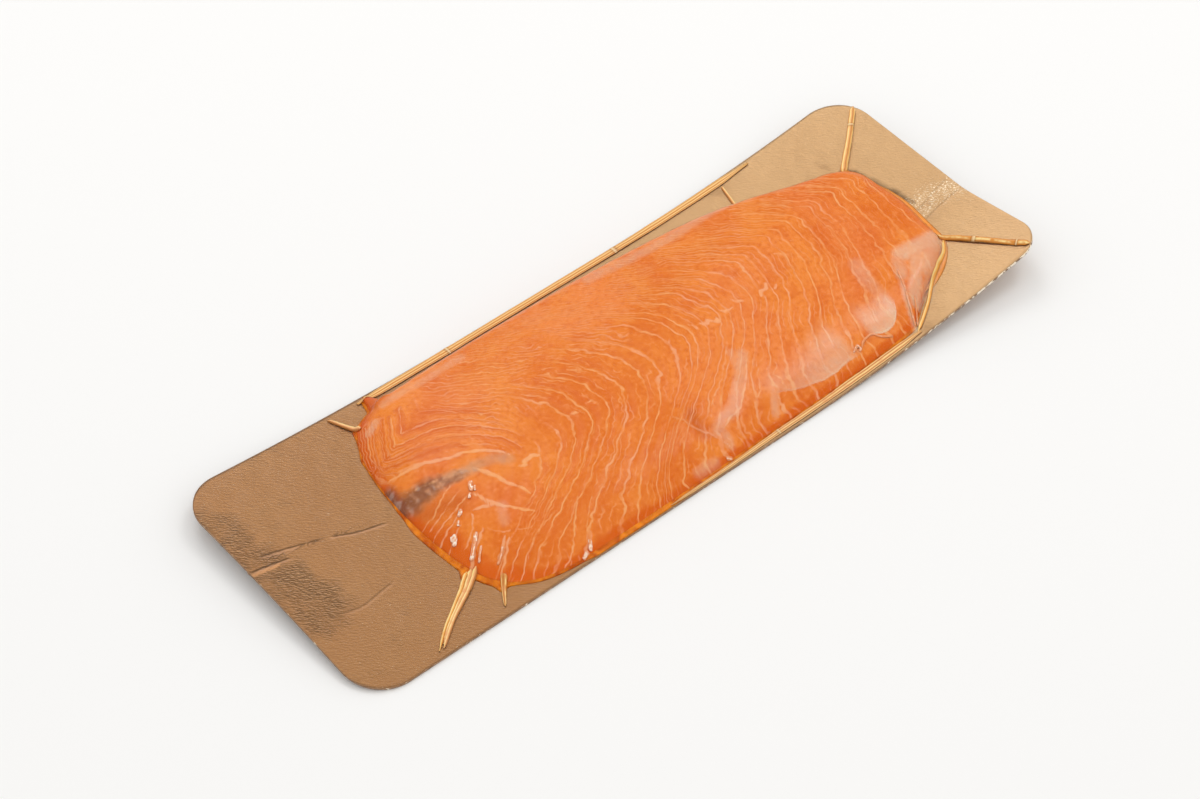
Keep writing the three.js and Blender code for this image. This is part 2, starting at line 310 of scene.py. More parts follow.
def tapered(share, least):
    """The share of a line's full width, which thins towards both of its ends."""
    return mix(least, 1, np.sqrt(np.sin(np.pi * np.clip(share, 0.01, 0.99))))


# Where a shadow of the fish is painted on the card along its far foot and cut end, and where
# painted glints of crinkled foil lie on the crease: places and half width.
FOOT_SHADE = [
    ([(56, 55), (86, 50.3), (106, 45), (128, 37.5), (153, 29)], 1.6),
    ([(154.5, 30), (157.6, 20), (160, 8), (162.2, 0), (163.8, -6)], 2.7),
]
CRINKLE_GLINTS = ([(163, -9), (175, -9), (184, -12)], 9)
# Where the foil is darker and its grain stands out, along the bare end's edge, and a painted
# highlight on a fold of foil beside the longest crease.
DARKER_EDGE = ([(-184, 44), (-183, 22), (-179, 4), (-175, -9), (-174, -18)], 12.5)
LIT_LIP = ([(-185, 11.6), (-180.6, 11.2), (-176, 10.6), (-172.5, 10.4)], 0.9)

board = bent_grid("gold_board", 260, 96, board_face)
x, y = places(board)
shaded = np.zeros(len(x))
for points, half in FOOT_SHADE:
    distance, share = line_distance(x, y, points)
    shaded = np.maximum(shaded, fall_off(distance, half * tapered(share, 0.3), 2))
store(board, "shaded", shaded)
store(board, "crinkle_glints", smooth(1.3 - line_distance(x, y, CRINKLE_GLINTS[0])[0] / CRINKLE_GLINTS[1]))
store(board, "scuffed", smooth(1.5 - line_distance(x, y, DARKER_EDGE[0])[0] / DARKER_EDGE[1]))
store(board, "lit_lip", fall_off(line_distance(x, y, LIT_LIP[0])[0], LIT_LIP[1], 2))
crease_side, crease_strength = np.full(len(x), 9.0), np.zeros(len(x))
for points, depth in BOARD_CREASES:
    offset, strength = crease_offset(x, y, points)
    closer = np.abs(offset) < np.abs(crease_side)
    crease_side = np.where(closer, offset, crease_side)
    crease_strength = np.where(closer, strength * min(1, 2.6 * depth), crease_strength)
store(board, "crease_side", crease_side)
store(board, "crease_strength", crease_strength)
wall = board.modifiers.new("card_thickness", "SOLIDIFY")
wall.thickness = BOARD_THICKNESS * MM
wall.offset = -1
wall.material_offset_rim = 1

# Metallised foil laminated to board: satin gold with a fine leathery grain pressed through by the
# fibres under it, coarser and duller towards the bare end. It mirrors the studio as a soft glow; its
# colour also holds a painted reflection that darkens it towards the bare end, and painted light and
# shade on the two sides of each grain.
foil = new_material("satin_gold_foil_laminate")
on_foil = partial(add_node, foil)
foil_place = on_foil("TexCoord", out="Object")
GRAIN_ANGLE, GRAIN_LENGTH, GRAIN_WIDTH = -38, 2, 0.75
GRAIN_STEP = 0.22  # how far the lit and the shaded side of a grain lie apart
SOFT = {"interpolation_type": "SMOOTHSTEP"}  # for a range whose two ends are eased


def grain_height(shift):
    """The grain's own places, and its height there, seen from a little way off."""
    laid = on_foil(
        "Mapping",
        {"Vector": foil_place, "Location": (shift * MM, shift * MM, 0),
         "Rotation": (0, 0, math.radians(GRAIN_ANGLE)), "Scale": (GRAIN_LENGTH * MM, GRAIN_WIDTH * MM, 1)},
        vector_type="TEXTURE",
    )
    grains = {"Vector": laid, "Scale": 1, "Detail": 3, "Roughness": 0.6, "Distortion": 0.5}
    return laid, on_foil("TexNoise", grains)


def layered(material, tone, layers):
    """Lays colours over a tone in turn: where each one shows, how strongly, and what it is."""
    for here, strength, paint in layers:
        share = add_node(material, "MULTIPLY", here, strength)
        tone = add_node(material, "Mix", {0: share, 6: tone, 7: paint}, out=2, data_type="RGBA")
    return tone


drawn, fibres = grain_height(0)
lit_side = on_foil("SUBTRACT", grain_height(GRAIN_STEP)[1], fibres)
# Uneven patterns: how many of their cells lie in 100 mm, and how much finer they go.
cockles, clouds, clumps = (
    on_foil("TexNoise", {"Vector": foil_place, "Scale": cells / (100 * MM), "Detail": detail})
    for cells, detail in [(13, 2), (2.2, 4), (24, 2)]
)
scuffed, crease_side, crease_strength, lit_lip, shaded, crinkle_glints = (
    on_foil("Attribute", out="Fac", attribute_name=name)
    for name in ("scuffed", "crease_side", "crease_strength", "lit_lip", "shaded", "crinkle_glints")
)
grain_relief = on_foil("Bump", {"Height": fibres, "Strength": 0.5, "Distance": 0.4 * MM})
relief = on_foil(
    "Bump", {"Height": cockles, "Strength": 0.45, "Distance": 0.7 * MM, "Normal": grain_relief}
)
along = on_foil("SeparateXYZ", foil_place)
patchy = on_foil("MULTIPLY_ADD", clouds, 3.2, on_foil("MULTIPLY_ADD", cockles, 1.4, -2.3))
darkened = on_foil("MapRange", on_foil("ADD", scuffed, patchy), 0.2, 1.3, **SOFT)
to_bare_end = on_foil("MapRange", along, -130 * MM, 20 * MM, 0.22, 0.1, **SOFT)
coarse = on_foil("MULTIPLY_ADD", darkened, 0.5, to_bare_end)
off_crease = on_foil("MULTIPLY_ADD", cockles, 0.9, on_foil("ADD", crease_side, -0.45))
in_crease = on_foil("MapRange", on_foil("ABSOLUTE", off_crease), 0.7, 0.15, **SOFT)
off_brow = on_foil("ABSOLUTE", on_foil("ADD", off_crease, 1.2))
on_brow = on_foil("MapRange", off_brow, 0.8, 0.2, **SOFT)
shade_edge = on_foil("MULTIPLY_ADD", cockles, 1.6, shaded)
glint_specks = on_foil("TexNoise", {"Vector": drawn, "Scale": 2, "Detail": 3, "Roughness": 0.7})
glint_specks = on_foil("MULTIPLY_ADD", clumps, 0.16, on_foil("ADD", glint_specks, -0.08))
glint_specks = on_foil("MULTIPLY_ADD", crinkle_glints, 0.13, glint_specks)
gold = layered(foil, "#9F7249", [
    # painted reflection: the foil is lighter towards the cut end, where it mirrors a brighter studio
    (on_foil("MapRange", along, -140 * MM, 150 * MM, **SOFT), 1, "#C9A173"),
    # darker along the bare end's edge
    (darkened, 0.78, "#684A30"),
    (on_foil("MapRange", clouds, 0.42, 0.68, **SOFT), 0.2, "#AC8256"),
    # painted shade on the lee side of each grain
    (on_foil("MapRange", lit_side, 0.01, 0.09, **SOFT), coarse, "#4E3622"),
    # painted light on the lit side of each grain
    (on_foil("MapRange", lit_side, -0.02, -0.12, **SOFT), coarse, "#C99C70"),
    # painted shade in each crease
    (on_foil("MULTIPLY", in_crease, crease_strength), 0.75, "#46301F"),
    # painted light on the brow beside each crease
    (on_foil("MULTIPLY", on_brow, crease_strength), 0.35, "#D0A080"),
    # painted highlight on the fold beside the longest crease
    (on_foil("MapRange", lit_lip, 0.7, 1.5, **SOFT), 0.8, "#C48E5E"),
    # painted shadow of the fish along its far foot and cut end
    (on_foil("MapRange", shade_edge, 1.2, 2.9, **SOFT), 0.85, "#4A3522"),
    # painted glints: cream specks of light where the foil is crinkled by the crease
    (on_foil("MapRange", glint_specks, 0.685, 0.725, **SOFT), 1, "#FFF0D2"),
])
foil_skin = on_foil(
    "BsdfPrincipled", {"Base Color": gold, "Metallic": 0.9, "Roughness": 0.42, "Normal": relief}
)
on_foil("OutputMaterial", foil_skin)

# The card's cut edge shows its grey-brown pulp, with painted cream glints on it where that end has curled
# up.
pulp = new_material("cut_grey_board")
in_pulp = partial(add_node, pulp)
pulp_place = in_pulp("TexCoord", out="Object")
plies = in_pulp("TexNoise", {"Vector": pulp_place, "Scale": 70 / (100 * MM), "Detail": 2})
curled_glints = in_pulp("MapRange", in_pulp("SeparateXYZ", pulp_place), 100 * MM, 140 * MM, 0, 0.2)
pulp_colour = layered(pulp, "#86664A", [
    (in_pulp("MapRange", plies, 0.35, 0.65), 1, "#A88262"),
    # painted glints on the cut edge of the curled-up end
    (in_pulp("MapRange", in_pulp("ADD", plies, curled_glints), 0.66, 0.72), 1, "#FFF2DA"),
])
in_pulp("OutputMaterial", in_pulp("BsdfPrincipled", {"Base Color": pulp_colour, "Roughness": 0.75}))
board.data.materials.append(foil)
board.data.materials.append(pulp)
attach(board, "root")
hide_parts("board")

# ---- Fillet ---------------------------------------------------------------------------------------
# A side of smoked salmon, boned and skinned, laid skin side down. It is one low cushion of
# flesh, whose flakes meet in pale lines of fat that point along it like chevrons.
FLESH_THICKNESS = 13
FLESH_RIM = 0.8
FLAKE_GROOVE = 0.3
GAP = 0.3  # free space between card, fish and film
BARE_END = [
    (-54, -105), (-47, -111), (-38, -114.5), (-20, -117),
    (0, -117.5), (20, -115.5), (36, -111.5), (50, -104),
]
CUT_END = [
    (-59.5, 112), (-49, 128), (-40, 146), (-32, 154), (-20, 157), (-4, 159), (8, 158), (18, 157), (27, 153),
]
NEAR_SIDE = [
    (-105, -54), (-96, -59), (-83, -62), (-60, -62.6), (-20, -62.4), (30, -61.2), (90, -60.4), (112, -59.5),
]
FAR_SIDE = [
    (-104, 50), (-94, 54.5), (-80, 56), (-30, 56.5), (20, 55.5),
    (56, 53), (86, 48.5), (106, 43), (128, 35), (153, 27),
]
bare_end, cut_end = through_stops(BARE_END), through_stops(CUT_END)
near_side, far_curve = through_stops(NEAR_SIDE), through_stops(FAR_SIDE)
FLAP_X, FLAP_REACH = -90.5, 8  # a pointed flap of flesh on the far side
DENT, DENT_HALF, DENT_DEPTH = [(1.5, -41), (3.5, -48), (8, -60)], 3, 0.9  # where the film pinches
# How far in each side rounds off, and how steeply: 0.5 is a quarter circle, more is gentler.
BARE_SHOULDER, CUT_SHOULDER, NEAR_SHOULDER, FAR_SHOULDER = (26, 0.8), (13, 0.6), (32, 0.8), (8.5, 0.5)
BARE_TIP, CUT_TIP = bare_end(-8), cut_end(4)
FIRST_CHEVRON, LAST_CHEVRON = -30, 100
CHEVRON_ROUND = 13
ROW_CROWDING = 0.86


def far_side(x):
    past = x - FLAP_X
    return far_curve(x) + FLAP_REACH * np.exp(-(past / np.where(past < 0, 1.6, 4.5)) ** 2)


def midline(x):
    return mix(-10, 6, smooth((x + 30) / 150))


def chevron_at(point, y):
    away = y - midline(point)
    near_slope = mix(1.12, 0.25, smooth((point - 25) / 110))
    slope = np.where(away < 0, near_slope, mix(0.95, 1.1, smooth(point / 100)))
    return point - slope * (np.hypot(away, CHEVRON_ROUND) - CHEVRON_ROUND)


def column_at(point, y):
    first, last = chevron_at(FIRST_CHEVRON, y), chevron_at(LAST_CHEVRON, y)
    start = mix(bare_end(y), first, (point - BARE_TIP) / (FIRST_CHEVRON - BARE_TIP))
    end = mix(last, cut_end(y), (point - LAST_CHEVRON) / (CUT_TIP - LAST_CHEVRON))
    whole = np.where(point < FIRST_CHEVRON, start, chevron_at(point, y))
    return np.where(point > LAST_CHEVRON, end, whole)


def fish_place(along, across):
    """A place within the fillet's outline, on columns that follow its flakes."""
    point = mix(BARE_TIP, CUT_TIP, along)
    share = mix(across, 0.5 - 0.5 * np.cos(np.pi * across), ROW_CROWDING)
    x, y = point, np.zeros_like(point)
    for _ in range(30):
        y = mix(y, mix(near_side(x), far_side(x), share), 0.5)
        x = mix(x, column_at(point, y), 0.5)
    return x, y


def inward(x, y):
    """How far inside the fillet's two ends and two sides a place is."""
    return x - bare_end(y), cut_end(y) - x, y - near_side(x), far_side(x) - y


def cushion(x, y):
    along = mix(0.7, 1, smooth((x + 120) / 85)) * mix(1, 0.74, smooth((x - 75) / 85))
    across = mix(0.74, 1, smooth((y + 64) / 75)) * mix(1, 0.86, smooth((y - 22) / 36))
    height = FLESH_THICKNESS * along * across
    shoulders = BARE_SHOULDER, CUT_SHOULDER, NEAR_SHOULDER, FAR_SHOULDER
    for inside, (reach, slack) in zip(inward(x, y), shoulders):
        height = height * (1 - (1 - np.clip(inside / reach, 0, 1)) ** 2) ** slack
    return height * mix(1, 0.35, smooth((y - far_curve(x) + 3) / 4))


# How far a line of fat has swept back towards the bare end, by its distance from the midline,
# and how strongly it slants, by where it crosses the midline.
near_sweep = through_stops([
    (0, 0), (6, 1.2), (12, 5), (18, 10), (25, 18.5), (33, 29), (41, 39), (48, 46), (57, 52.5),
])
far_sweep = through_stops([
    (0, 0), (8, 1.2), (16, 4), (22, 8), (28, 13), (34, 19.5), (42, 29), (50, 40), (62, 56),
])
near_slant = through_stops([
    (-60, 1.5), (-20, 1.4), (0, 1.08), (20, 1.06), (37, 1.15), (60, 0.85),
    (84, 0.55), (118, 0.38), (143, 0.12), (158, -0.05),
])
far_slant = through_stops([(-20, 1), (0, 1), (48, 1.5), (100, 1.4), (150, 0.9)])


def flake_apex(x, y):
    """Where the line of fat through a place crosses the midline."""
    apex = x.copy()
    for _ in range(40):
        away = y - midline(apex)
        hook = 3.5 * smooth((apex - 50) / 30) * np.exp(-((away - 10) / 5) ** 2)
        back = np.where(
            away < 0,
            near_slant(apex) * near_sweep(-away),
            far_slant(apex) * far_sweep(away) - hook,
        )
        apex = mix(apex, x + back, 0.5)
    return apex


def flake_count(x, y):
    """Counts lines of fat along the fillet: 9.5 mm apart at the bare end, 6.5 mm at the cut one."""
    apex = flake_apex(x, y)
    return apex / 9.5 + 0.0487 * np.clip(apex - 25, 0, None)


def flesh_top(x, y):
    height = cushion(x, y)
    groove = FLAKE_GROOVE * np.cos(2 * np.pi * flake_count(x, y)) * height / FLESH_THICKNESS
    dent = DENT_DEPTH * np.exp(-(line_distance(x, y, DENT)[0] / DENT_HALF) ** 2)
    rise = height - dent * height / FLESH_THICKNESS - FLAKE_GROOVE / 2 - groove / 2
    return card_top(x, y) + GAP + FLESH_RIM + rise


FISH_COLUMNS = 330
TOP_ROWS = 220
BOTTOM_ROWS = 22
FISH_ROWS = TOP_ROWS + BOTTOM_ROWS + 2  # the two more are the low walls along both sides


def fish_skin(u, v):
    """Once round the fillet: over its top from near to far, and back under it."""
    row = np.rint(v * FISH_ROWS)
    on_top = (row <= TOP_ROWS) | (row == FISH_ROWS)
    over = np.where(row == FISH_ROWS, 0, row / TOP_ROWS)
    under = 1 - (row - TOP_ROWS - 1) / BOTTOM_ROWS
    x, y = fish_place(u, np.clip(np.where(on_top, over, under), 0, 1))
    return x, y, np.where(on_top, flesh_top(x, y), card_top(x, y) + GAP)


fillet = bent_grid("fillet", FISH_COLUMNS, FISH_ROWS, fish_skin, capped=True)

# Lines of fat at the bare end, where the flakes no longer follow the chevrons. Each is its
# places, its half width and how pale it is.
FAT_LINES = [
    # far of the dark band
    ([(-112.6, 16.9), (-109, 14.9), (-104.8, 14), (-100.7, 12.6), (-97.2, 10.9), (-92.4, 8.2),
      (-87.2, 6), (-82.8, 4.9), (-77.3, 2), (-71.5, -3.8), (-69, -8.2)], 0.85, 1),
    ([(-107, 14.6), (-101, 12.8), (-96, 10.4)], 1.1, 1),
    ([(-113, 7.8), (-108.4, 4.6), (-102.6, 2), (-97.2, 0), (-92.2, -2), (-87, -3.6)], 0.8, 0.7),
    # short ones that fan out of the bare end
    ([(-117.5, -11), (-110.3, -10.5), (-104.5, -7.4), (-98, -4.6)], 0.55, 0.85),
    ([(-116, -14), (-109, -12.8), (-102, -10.6), (-95, -9)], 0.5, 0.8),
    ([(-108, -16), (-101, -14.6), (-94.5, -13.2)], 0.5, 0.9),
    ([(-117.5, -18), (-112.5, -16.6), (-108, -15.9)], 0.55, 0.85),
    ([(-119, -23.4), (-115.7, -21.3), (-110.7, -19.7), (-104, -18)], 0.5, 0.9),
    ([(-116.7, -27.3), (-110.8, -23.6), (-104.8, -21.3)], 0.5, 0.75),
    ([(-117.5, -41.8), (-112, -36.8), (-107.5, -33), (-101.3, -30)], 0.7, 1),
    ([(-108, -49.3), (-102.5, -45.5), (-95, -39.3)], 0.7, 0.9),
    ([(-91.7, -47.6), (-86.7, -45.5), (-80, -43.4), (-71.7, -41.3)], 0.6, 0.7),
    ([(-86.7, -63), (-78.3, -58.8), (-71.7, -52.2), (-66.7, -47.2), (-60.8, -41.3)], 0.6, 0.8),
    ([(-73, -61), (-67, -54.5), (-61, -49), (-54, -43)], 0.6, 0.7),
    # the broad flake ends near of the dark band
    ([(-85, -3.8), (-82, -9), (-79.8, -14), (-78.8, -19.2), (-76.3, -23.5), (-74.8, -29)], 0.9, 1),
    ([(-84, -6), (-81, -11)], 1.3, 0.8),
    ([(-93, -14), (-91, -19), (-89.4, -23.6), (-85.8, -28.7), (-82, -33.7), (-79, -36.3)], 0.9, 1),
    ([(-92, -17), (-90, -22.5)], 1.2, 0.9),
    ([(-79, -36.3), (-82.7, -40.3), (-85.5, -42), (-91, -38.2), (-95.5, -36.3), (-98.6, -31.6),
      (-100.8, -29), (-104.8, -33.8)], 0.5, 0.75),
    ([(-98, -20.3), (-94.5, -21.3), (-90.5, -23.8)], 0.8, 1),
    ([(-98.4, -19.8), (-101, -23.8), (-104.6, -27.3), (-107.7, -29), (-111.2, -31)], 0.65, 0.85),
    ([(-95.8, -37.6), (-99.3, -40.8), (-103, -43.3), (-105.5, -44.6)], 0.8, 1),
    ([(-72.6, -41.2), (-78.7, -43.2), (-84.2, -44.6), (-90, -47.4), (-95.4, -50.7), (-99, -52.5)], 0.6, 0.7),
    ([(-70, -15), (-67.6, -16.6), (-67, -14.6), (-62.8, -14.7), (-59.2, -16.3)], 1, 1),
    ([(-72, -30.5), (-66, -27), (-60, -23.5), (-56, -18)], 0.5, 0.6),
    # ragged dabs where the lines turn at the midline
    ([(-36, -8), (-33.5, -9.5)], 1, 0.9),
    ([(-27, -7), (-25, -8.5)], 0.8, 0.8),
    ([(-4, -5), (-3.5, -8)], 0.9, 0.7),
    ([(20.5, -4.5), (23, -2.5)], 0.7, 0.8),
    ([(34, -1.5), (35.5, -3.4), (35.8, -7)], 0.7, 0.9),
    ([(38.5, -3.8), (41, -6.6), (42, -4.6), (45.5, -8.8), (46.5, -5.5)], 0.9, 1),
    ([(49.5, -3.6), (51.5, -5.8), (55.5, -6)], 0.8, 1),
    ([(57.5, -1.8), (59, -4), (61.5, -6.9)], 0.8, 0.9),
    ([(69, -9.5), (71, -6.8), (73.5, -7.5), (75.5, -4.8)], 0.9, 1),
    ([(76.5, -10), (78.5, -8.2)], 0.8, 0.8),
    ([(89.5, 5.3), (92, 3.4), (94, 0.6)], 0.7, 0.8),
    ([(100.5, 7), (103, 5)], 0.6, 0.7),
    # broad pale ones low on the near side, round the dent; the first is a painted highlight
    ([(10, -51.2), (16.2, -48.6), (22.4, -47.8), (28, -43.5), (34.2, -38.2), (43.6, -28.7)], 0.6, 0.85),
    ([(43.5, -34), (39.5, -40), (35.6, -45.4), (27.3, -52)], 0.7, 0.75),
    ([(6.7, -48.7), (12.7, -40.2), (26, -32.2), (36.6, -23), (44.4, -15.4)], 0.7, 0.7),
    ([(-6, -33), (-1.5, -39), (0.5, -45), (6, -53), (8, -60)], 0.7, 0.9),
    ([(30, -60), (36, -56), (41, -53.5)], 0.8, 0.6),
]
# Nested lines far of the dark band, which turn back sharply at the bare end. Two finer ones run
# between each of them and the next.
NESTED = [
    [(-78, 46), (-79.5, 40), (-82, 34.5), (-77, 30.5), (-72.5, 25), (-66.5, 19.5), (-62, 13),
     (-56, 5), (-51, -2), (-50, -4)],
    [(-87, 41.7), (-91, 36.6), (-95.2, 30), (-90, 29), (-84, 27.2), (-79, 25.8), (-74, 22.8),
     (-66, 16), (-60, 8), (-55, 0)],
    [(-92.6, 40), (-97.2, 33.3), (-101.2, 27), (-94.7, 25), (-89, 23.6), (-84, 23), (-77, 19),
     (-69, 12), (-62, 3), (-58, -4)],
    [(-96.4, 42.6), (-103.5, 32.4), (-107.6, 25.5), (-100, 22), (-94.5, 21), (-90.3, 20.6),
     (-81, 16.6), (-71, 7.6), (-65, 0), (-63, -9)],
    [(-98, 44), (-104.7, 34.2), (-110.6, 22.2), (-105, 18.4), (-99, 16), (-94, 14.3), (-86, 11.5),
     (-77, 6), (-71, 0), (-68, -6)],
    [(-101.5, 47), (-108, 36), (-113.6, 25.5), (-112, 22), (-107, 18), (-102, 15.5), (-97, 13.4),
     (-92, 11.2), (-88, 9.6), (-85, 8.6)],
    [(-103.5, 49.5), (-108.5, 42), (-114.5, 31.5), (-114.2, 29), (-113.8, 27), (-113.4, 25),
     (-113, 23), (-112.6, 21), (-112, 19), (-111, 17.5)],
]
NESTED_REACH = 9  # further apart than this, two neighbours have no lines between them
# Where the flesh is darker, with its half width: painted shade in the dent, and darker flesh by the dark
# band.
DENT_SHADE_AND_DARK_FLESH = [
    ([(3.5, -38), (2, -43.7), (1.5, -49)], 2.6),
    ([(-116, -6), (-111, -8), (-106, -10), (-100, -13)], 5),
]
DARK_BAND = [
    (-119, 4), (-113, 2.3), (-108, 1.2), (-102.5, 0.3), (-97, -1.2), (-91.5, -2.7), (-85, -3.8),
    (-79, -4.2), (-75, -6), (-70.8, -9.5),
]
BAND_HALF = (4, 2)  # at the bare end, and where it runs out
LINE_TOP = 2.5  # how high the field of a drawn line starts
WAVE = 0.35  # how far the drawn lines waver
DARK_RIM = ([(-116, 13), (-116.6, 8), (-117, 3)], 2)
DARKER_RIM = [
    (-100, 53), (-105, 50.7), (-109.3, 44.5), (-112.6, 36.3), (-115, 28.4), (-116.8, 20), (-117, 10),
]


def ripple(x, y, length):
    """A smooth uneven push of about one, for lines that no two places draw alike."""
    a = np.sin(x * 6.3 / length + 2.1 * np.sin(y * 4.1 / length + 0.7))
    return 0.5 * a + 0.5 * np.sin((x + 1.7 * y) * 3.9 / length + 1.3 * np.sin(x * 5.2 / length))


def nested_count(x, y):
    """Counts the nested lines inwards from the far side, and how far apart the nearest two are."""
    away = np.array([line_distance(x, y, points)[0] for points in NESTED])
    order = np.argsort(away, axis=0)[:2]
    nearest, second = np.take_along_axis(away, order, axis=0)
    return (order[0] * second + order[1] * nearest) / (nearest + second), nearest + second


x, y = places(fillet)
wavy_x, wavy_y = x + WAVE * ripple(x, y, 7), y + WAVE * ripple(y, x, 6)
fat = np.zeros(len(x))
for points, half, pale in FAT_LINES:
    distance, share = line_distance(wavy_x, wavy_y, points)
    fat = np.maximum(fat, pale * fall_off(distance, half * tapered(share, 0.35), LINE_TOP))
band_distance, band_share = line_distance(x, y, DARK_BAND)
on_band = fall_off(band_distance, mix(*BAND_HALF, smooth(band_share * 1.5)), LINE_TOP)
on_rim = 0.9 * fall_off(line_distance(x, y, DARK_RIM[0])[0], DARK_RIM[1], LINE_TOP)
apex = flake_apex(x, y)
away = y - midline(apex)
near_lines = smooth((apex + 62) / 8) * mix(1, 0.7, smooth((x - 95) / 30))
far_lines = smooth((apex + 50) / 10) * mix(1, 0.12, smooth((away - 16) / 22))
inside = np.min(inward(x, y), axis=0)
store(fillet, "flakes", flake_count(x, y))
store(fillet, "flake_lines", np.where(away < 0, near_lines, far_lines))
store(fillet, "fat", fat)
store(fillet, "bloodline", np.maximum(on_band, on_rim))
store(fillet, "band_share", band_share)
nested, apart = nested_count(wavy_x, wavy_y)
store(fillet, "nested", nested)
store(fillet, "nested_lines", smooth((NESTED_REACH - apart) / 3) * smooth((-56 - x) / 10))
store(fillet, "nested_fine", mix(0.22, 0.78, smooth((-95 - x) / 9)))
on_flap = np.exp(-((x - FLAP_X) / 7) ** 2) * smooth((y - far_curve(x) + 7) / 6)
store(fillet, "darker_rim_and_flap", np.maximum(smooth(1.2 - line_distance(x, y, DARKER_RIM)[0] / 5), on_flap))
deep = np.zeros(len(x))
for points, half in DENT_SHADE_AND_DARK_FLESH:
    deep = np.maximum(deep, np.exp(-(line_distance(x, y, points)[0] / half) ** 2))
store(fillet, "deep", deep)
store(fillet, "far_flakes", smooth((x + 82) / 14) * smooth((away - 9) / 12))
store(fillet, "hatch", smooth((x + 72) / 15) * smooth((y - 16) / 18) * mix(1, 0.5, smooth((x - 110) / 30)))
soak = 3.5 + 6.5 * smooth((-90 - x) / 15) * smooth((-8 - y) / 15) - 2 * smooth((x - 118) / 12)
store(fillet, "soaked", np.clip(1.2 - inside / soak, 0, 1))

# Cold-smoked salmon: oily translucent flesh, cured to a firm gel. It is a saturated orange,
# deeper where it is thin and wet at the rim, with matt pale fat between the flakes. The film
# wets it, so that it has hardly any shine of its own.
flesh = new_material("cold_smoked_salmon_flesh")
in_flesh = partial(add_node, flesh)
flesh_place = in_flesh("TexCoord", out="Object")
stored = {
    name: in_flesh("Attribute", out="Fac", attribute_name=name)
    for name in (
        "flakes", "flake_lines", "far_flakes", "hatch", "fat", "nested", "nested_lines", "nested_fine",
        "bloodline", "band_share", "darker_rim_and_flap", "deep", "soaked",
    )
}
# Uneven patterns: how many of their cells lie in 100 mm, and how much finer they go.
noise = {
    name: in_flesh("TexNoise", {"Vector": flesh_place, "Scale": cells / (100 * MM), "Detail": detail})
    for name, cells, detail in [
        ("bend", 11, 2), ("shiver", 33, 3), ("width", 6, 2), ("uneven", 15, 3), ("gaps", 9.5, 2),
        ("breaks", 12, 3), ("ragged", 48, 2), ("speckle", 56, 3), ("warm", 3.4, 3), ("pink", 2.6, 3),
        ("deep", 7.5, 3), ("wet", 19, 3), ("dull", 26, 3), ("grey", 21, 2), ("fat", 4, 2),
    ]
}


def all_of(share, *others):
    """High only where all of these shares are."""
    for other in others:
        share = in_flesh("MULTIPLY", share, other)
    return share


def any_of(share, *others):
    """High where the highest of these shares is."""
    for other in others:
        share = in_flesh("MAXIMUM", share, other)
    return share


# The lines of fat at each whole count, every one with a little shift, width and strength of its own.
bend = in_flesh("MULTIPLY_ADD", noise["bend"], 0.8, -0.4)
shiver = in_flesh("MULTIPLY_ADD", noise["shiver"], 0.16, -0.08)
counted = in_flesh("ADD", in_flesh("ADD", stored["flakes"], bend), shiver)
line_number = in_flesh("ROUND", counted)
own_place = in_flesh("TexWhiteNoise", {"W": line_number}, noise_dimensions="1D")
own_place = in_flesh("MULTIPLY_ADD", own_place, 0.4, -0.2)
off_line = in_flesh("SUBTRACT", in_flesh("SUBTRACT", counted, line_number), own_place)
off_line = in_flesh("ABSOLUTE", off_line)
core = in_flesh("MULTIPLY", noise["width"], 0.07)
line = in_flesh("MapRange", off_line, in_flesh("ADD", core, 0.05), core, **SOFT)
uneven = in_flesh("MapRange", noise["uneven"], 0.3, 0.66, 0.25, 1, **SOFT)
# Finer lines between them, in broken stretches.
second = in_flesh("MULTIPLY_ADD", counted, 2.3, in_flesh("MULTIPLY", bend, 1.2))
second = in_flesh("MapRange", in_flesh("PINGPONG", second), 0.13, 0.02, **SOFT)
second_gaps = in_flesh("MapRange", noise["gaps"], 0.44, 0.6, **SOFT)
# The nested lines, with two finer ones between each and the next.
nest_place = in_flesh("MULTIPLY_ADD", noise["bend"], 0.14, in_flesh("ADD", stored["nested"], -0.07))
nest = in_flesh("MULTIPLY", nest_place, 3)
nest_own = in_flesh("TexWhiteNoise", {"W": in_flesh("ROUND", nest)}, noise_dimensions="1D")
nest_line = in_flesh("MapRange", in_flesh("PINGPONG", nest), 0.3, 0.1, **SOFT)
main_nest = in_flesh("MapRange", in_flesh("PINGPONG", nest_place), 0.25, 0.12, **SOFT)
# Towards the far side the flakes split into a fine broken hatching.
split = in_flesh("MULTIPLY_ADD", counted, 2.9, in_flesh("MULTIPLY", bend, 2.2))
split = in_flesh("MapRange", in_flesh("PINGPONG", split), 0.14, 0.03, **SOFT)
split_gaps = in_flesh("MapRange", noise["breaks"], 0.4, 0.54, **SOFT)
STREAK_ANGLE, STREAK_LENGTH, STREAK_WIDTH = 146, 6, 0.5
streaks = in_flesh(
    "Mapping",
    {"Vector": flesh_place, "Rotation": (0, 0, math.radians(STREAK_ANGLE)),
     "Scale": (STREAK_LENGTH * MM, STREAK_WIDTH * MM, 1)},
    vector_type="TEXTURE",
)
streaks = in_flesh("TexNoise", {"Vector": streaks, "Scale": 1, "Detail": 2, "Distortion": 0.4})
streaks = in_flesh("MapRange", streaks, 0.52, 0.6, **SOFT)
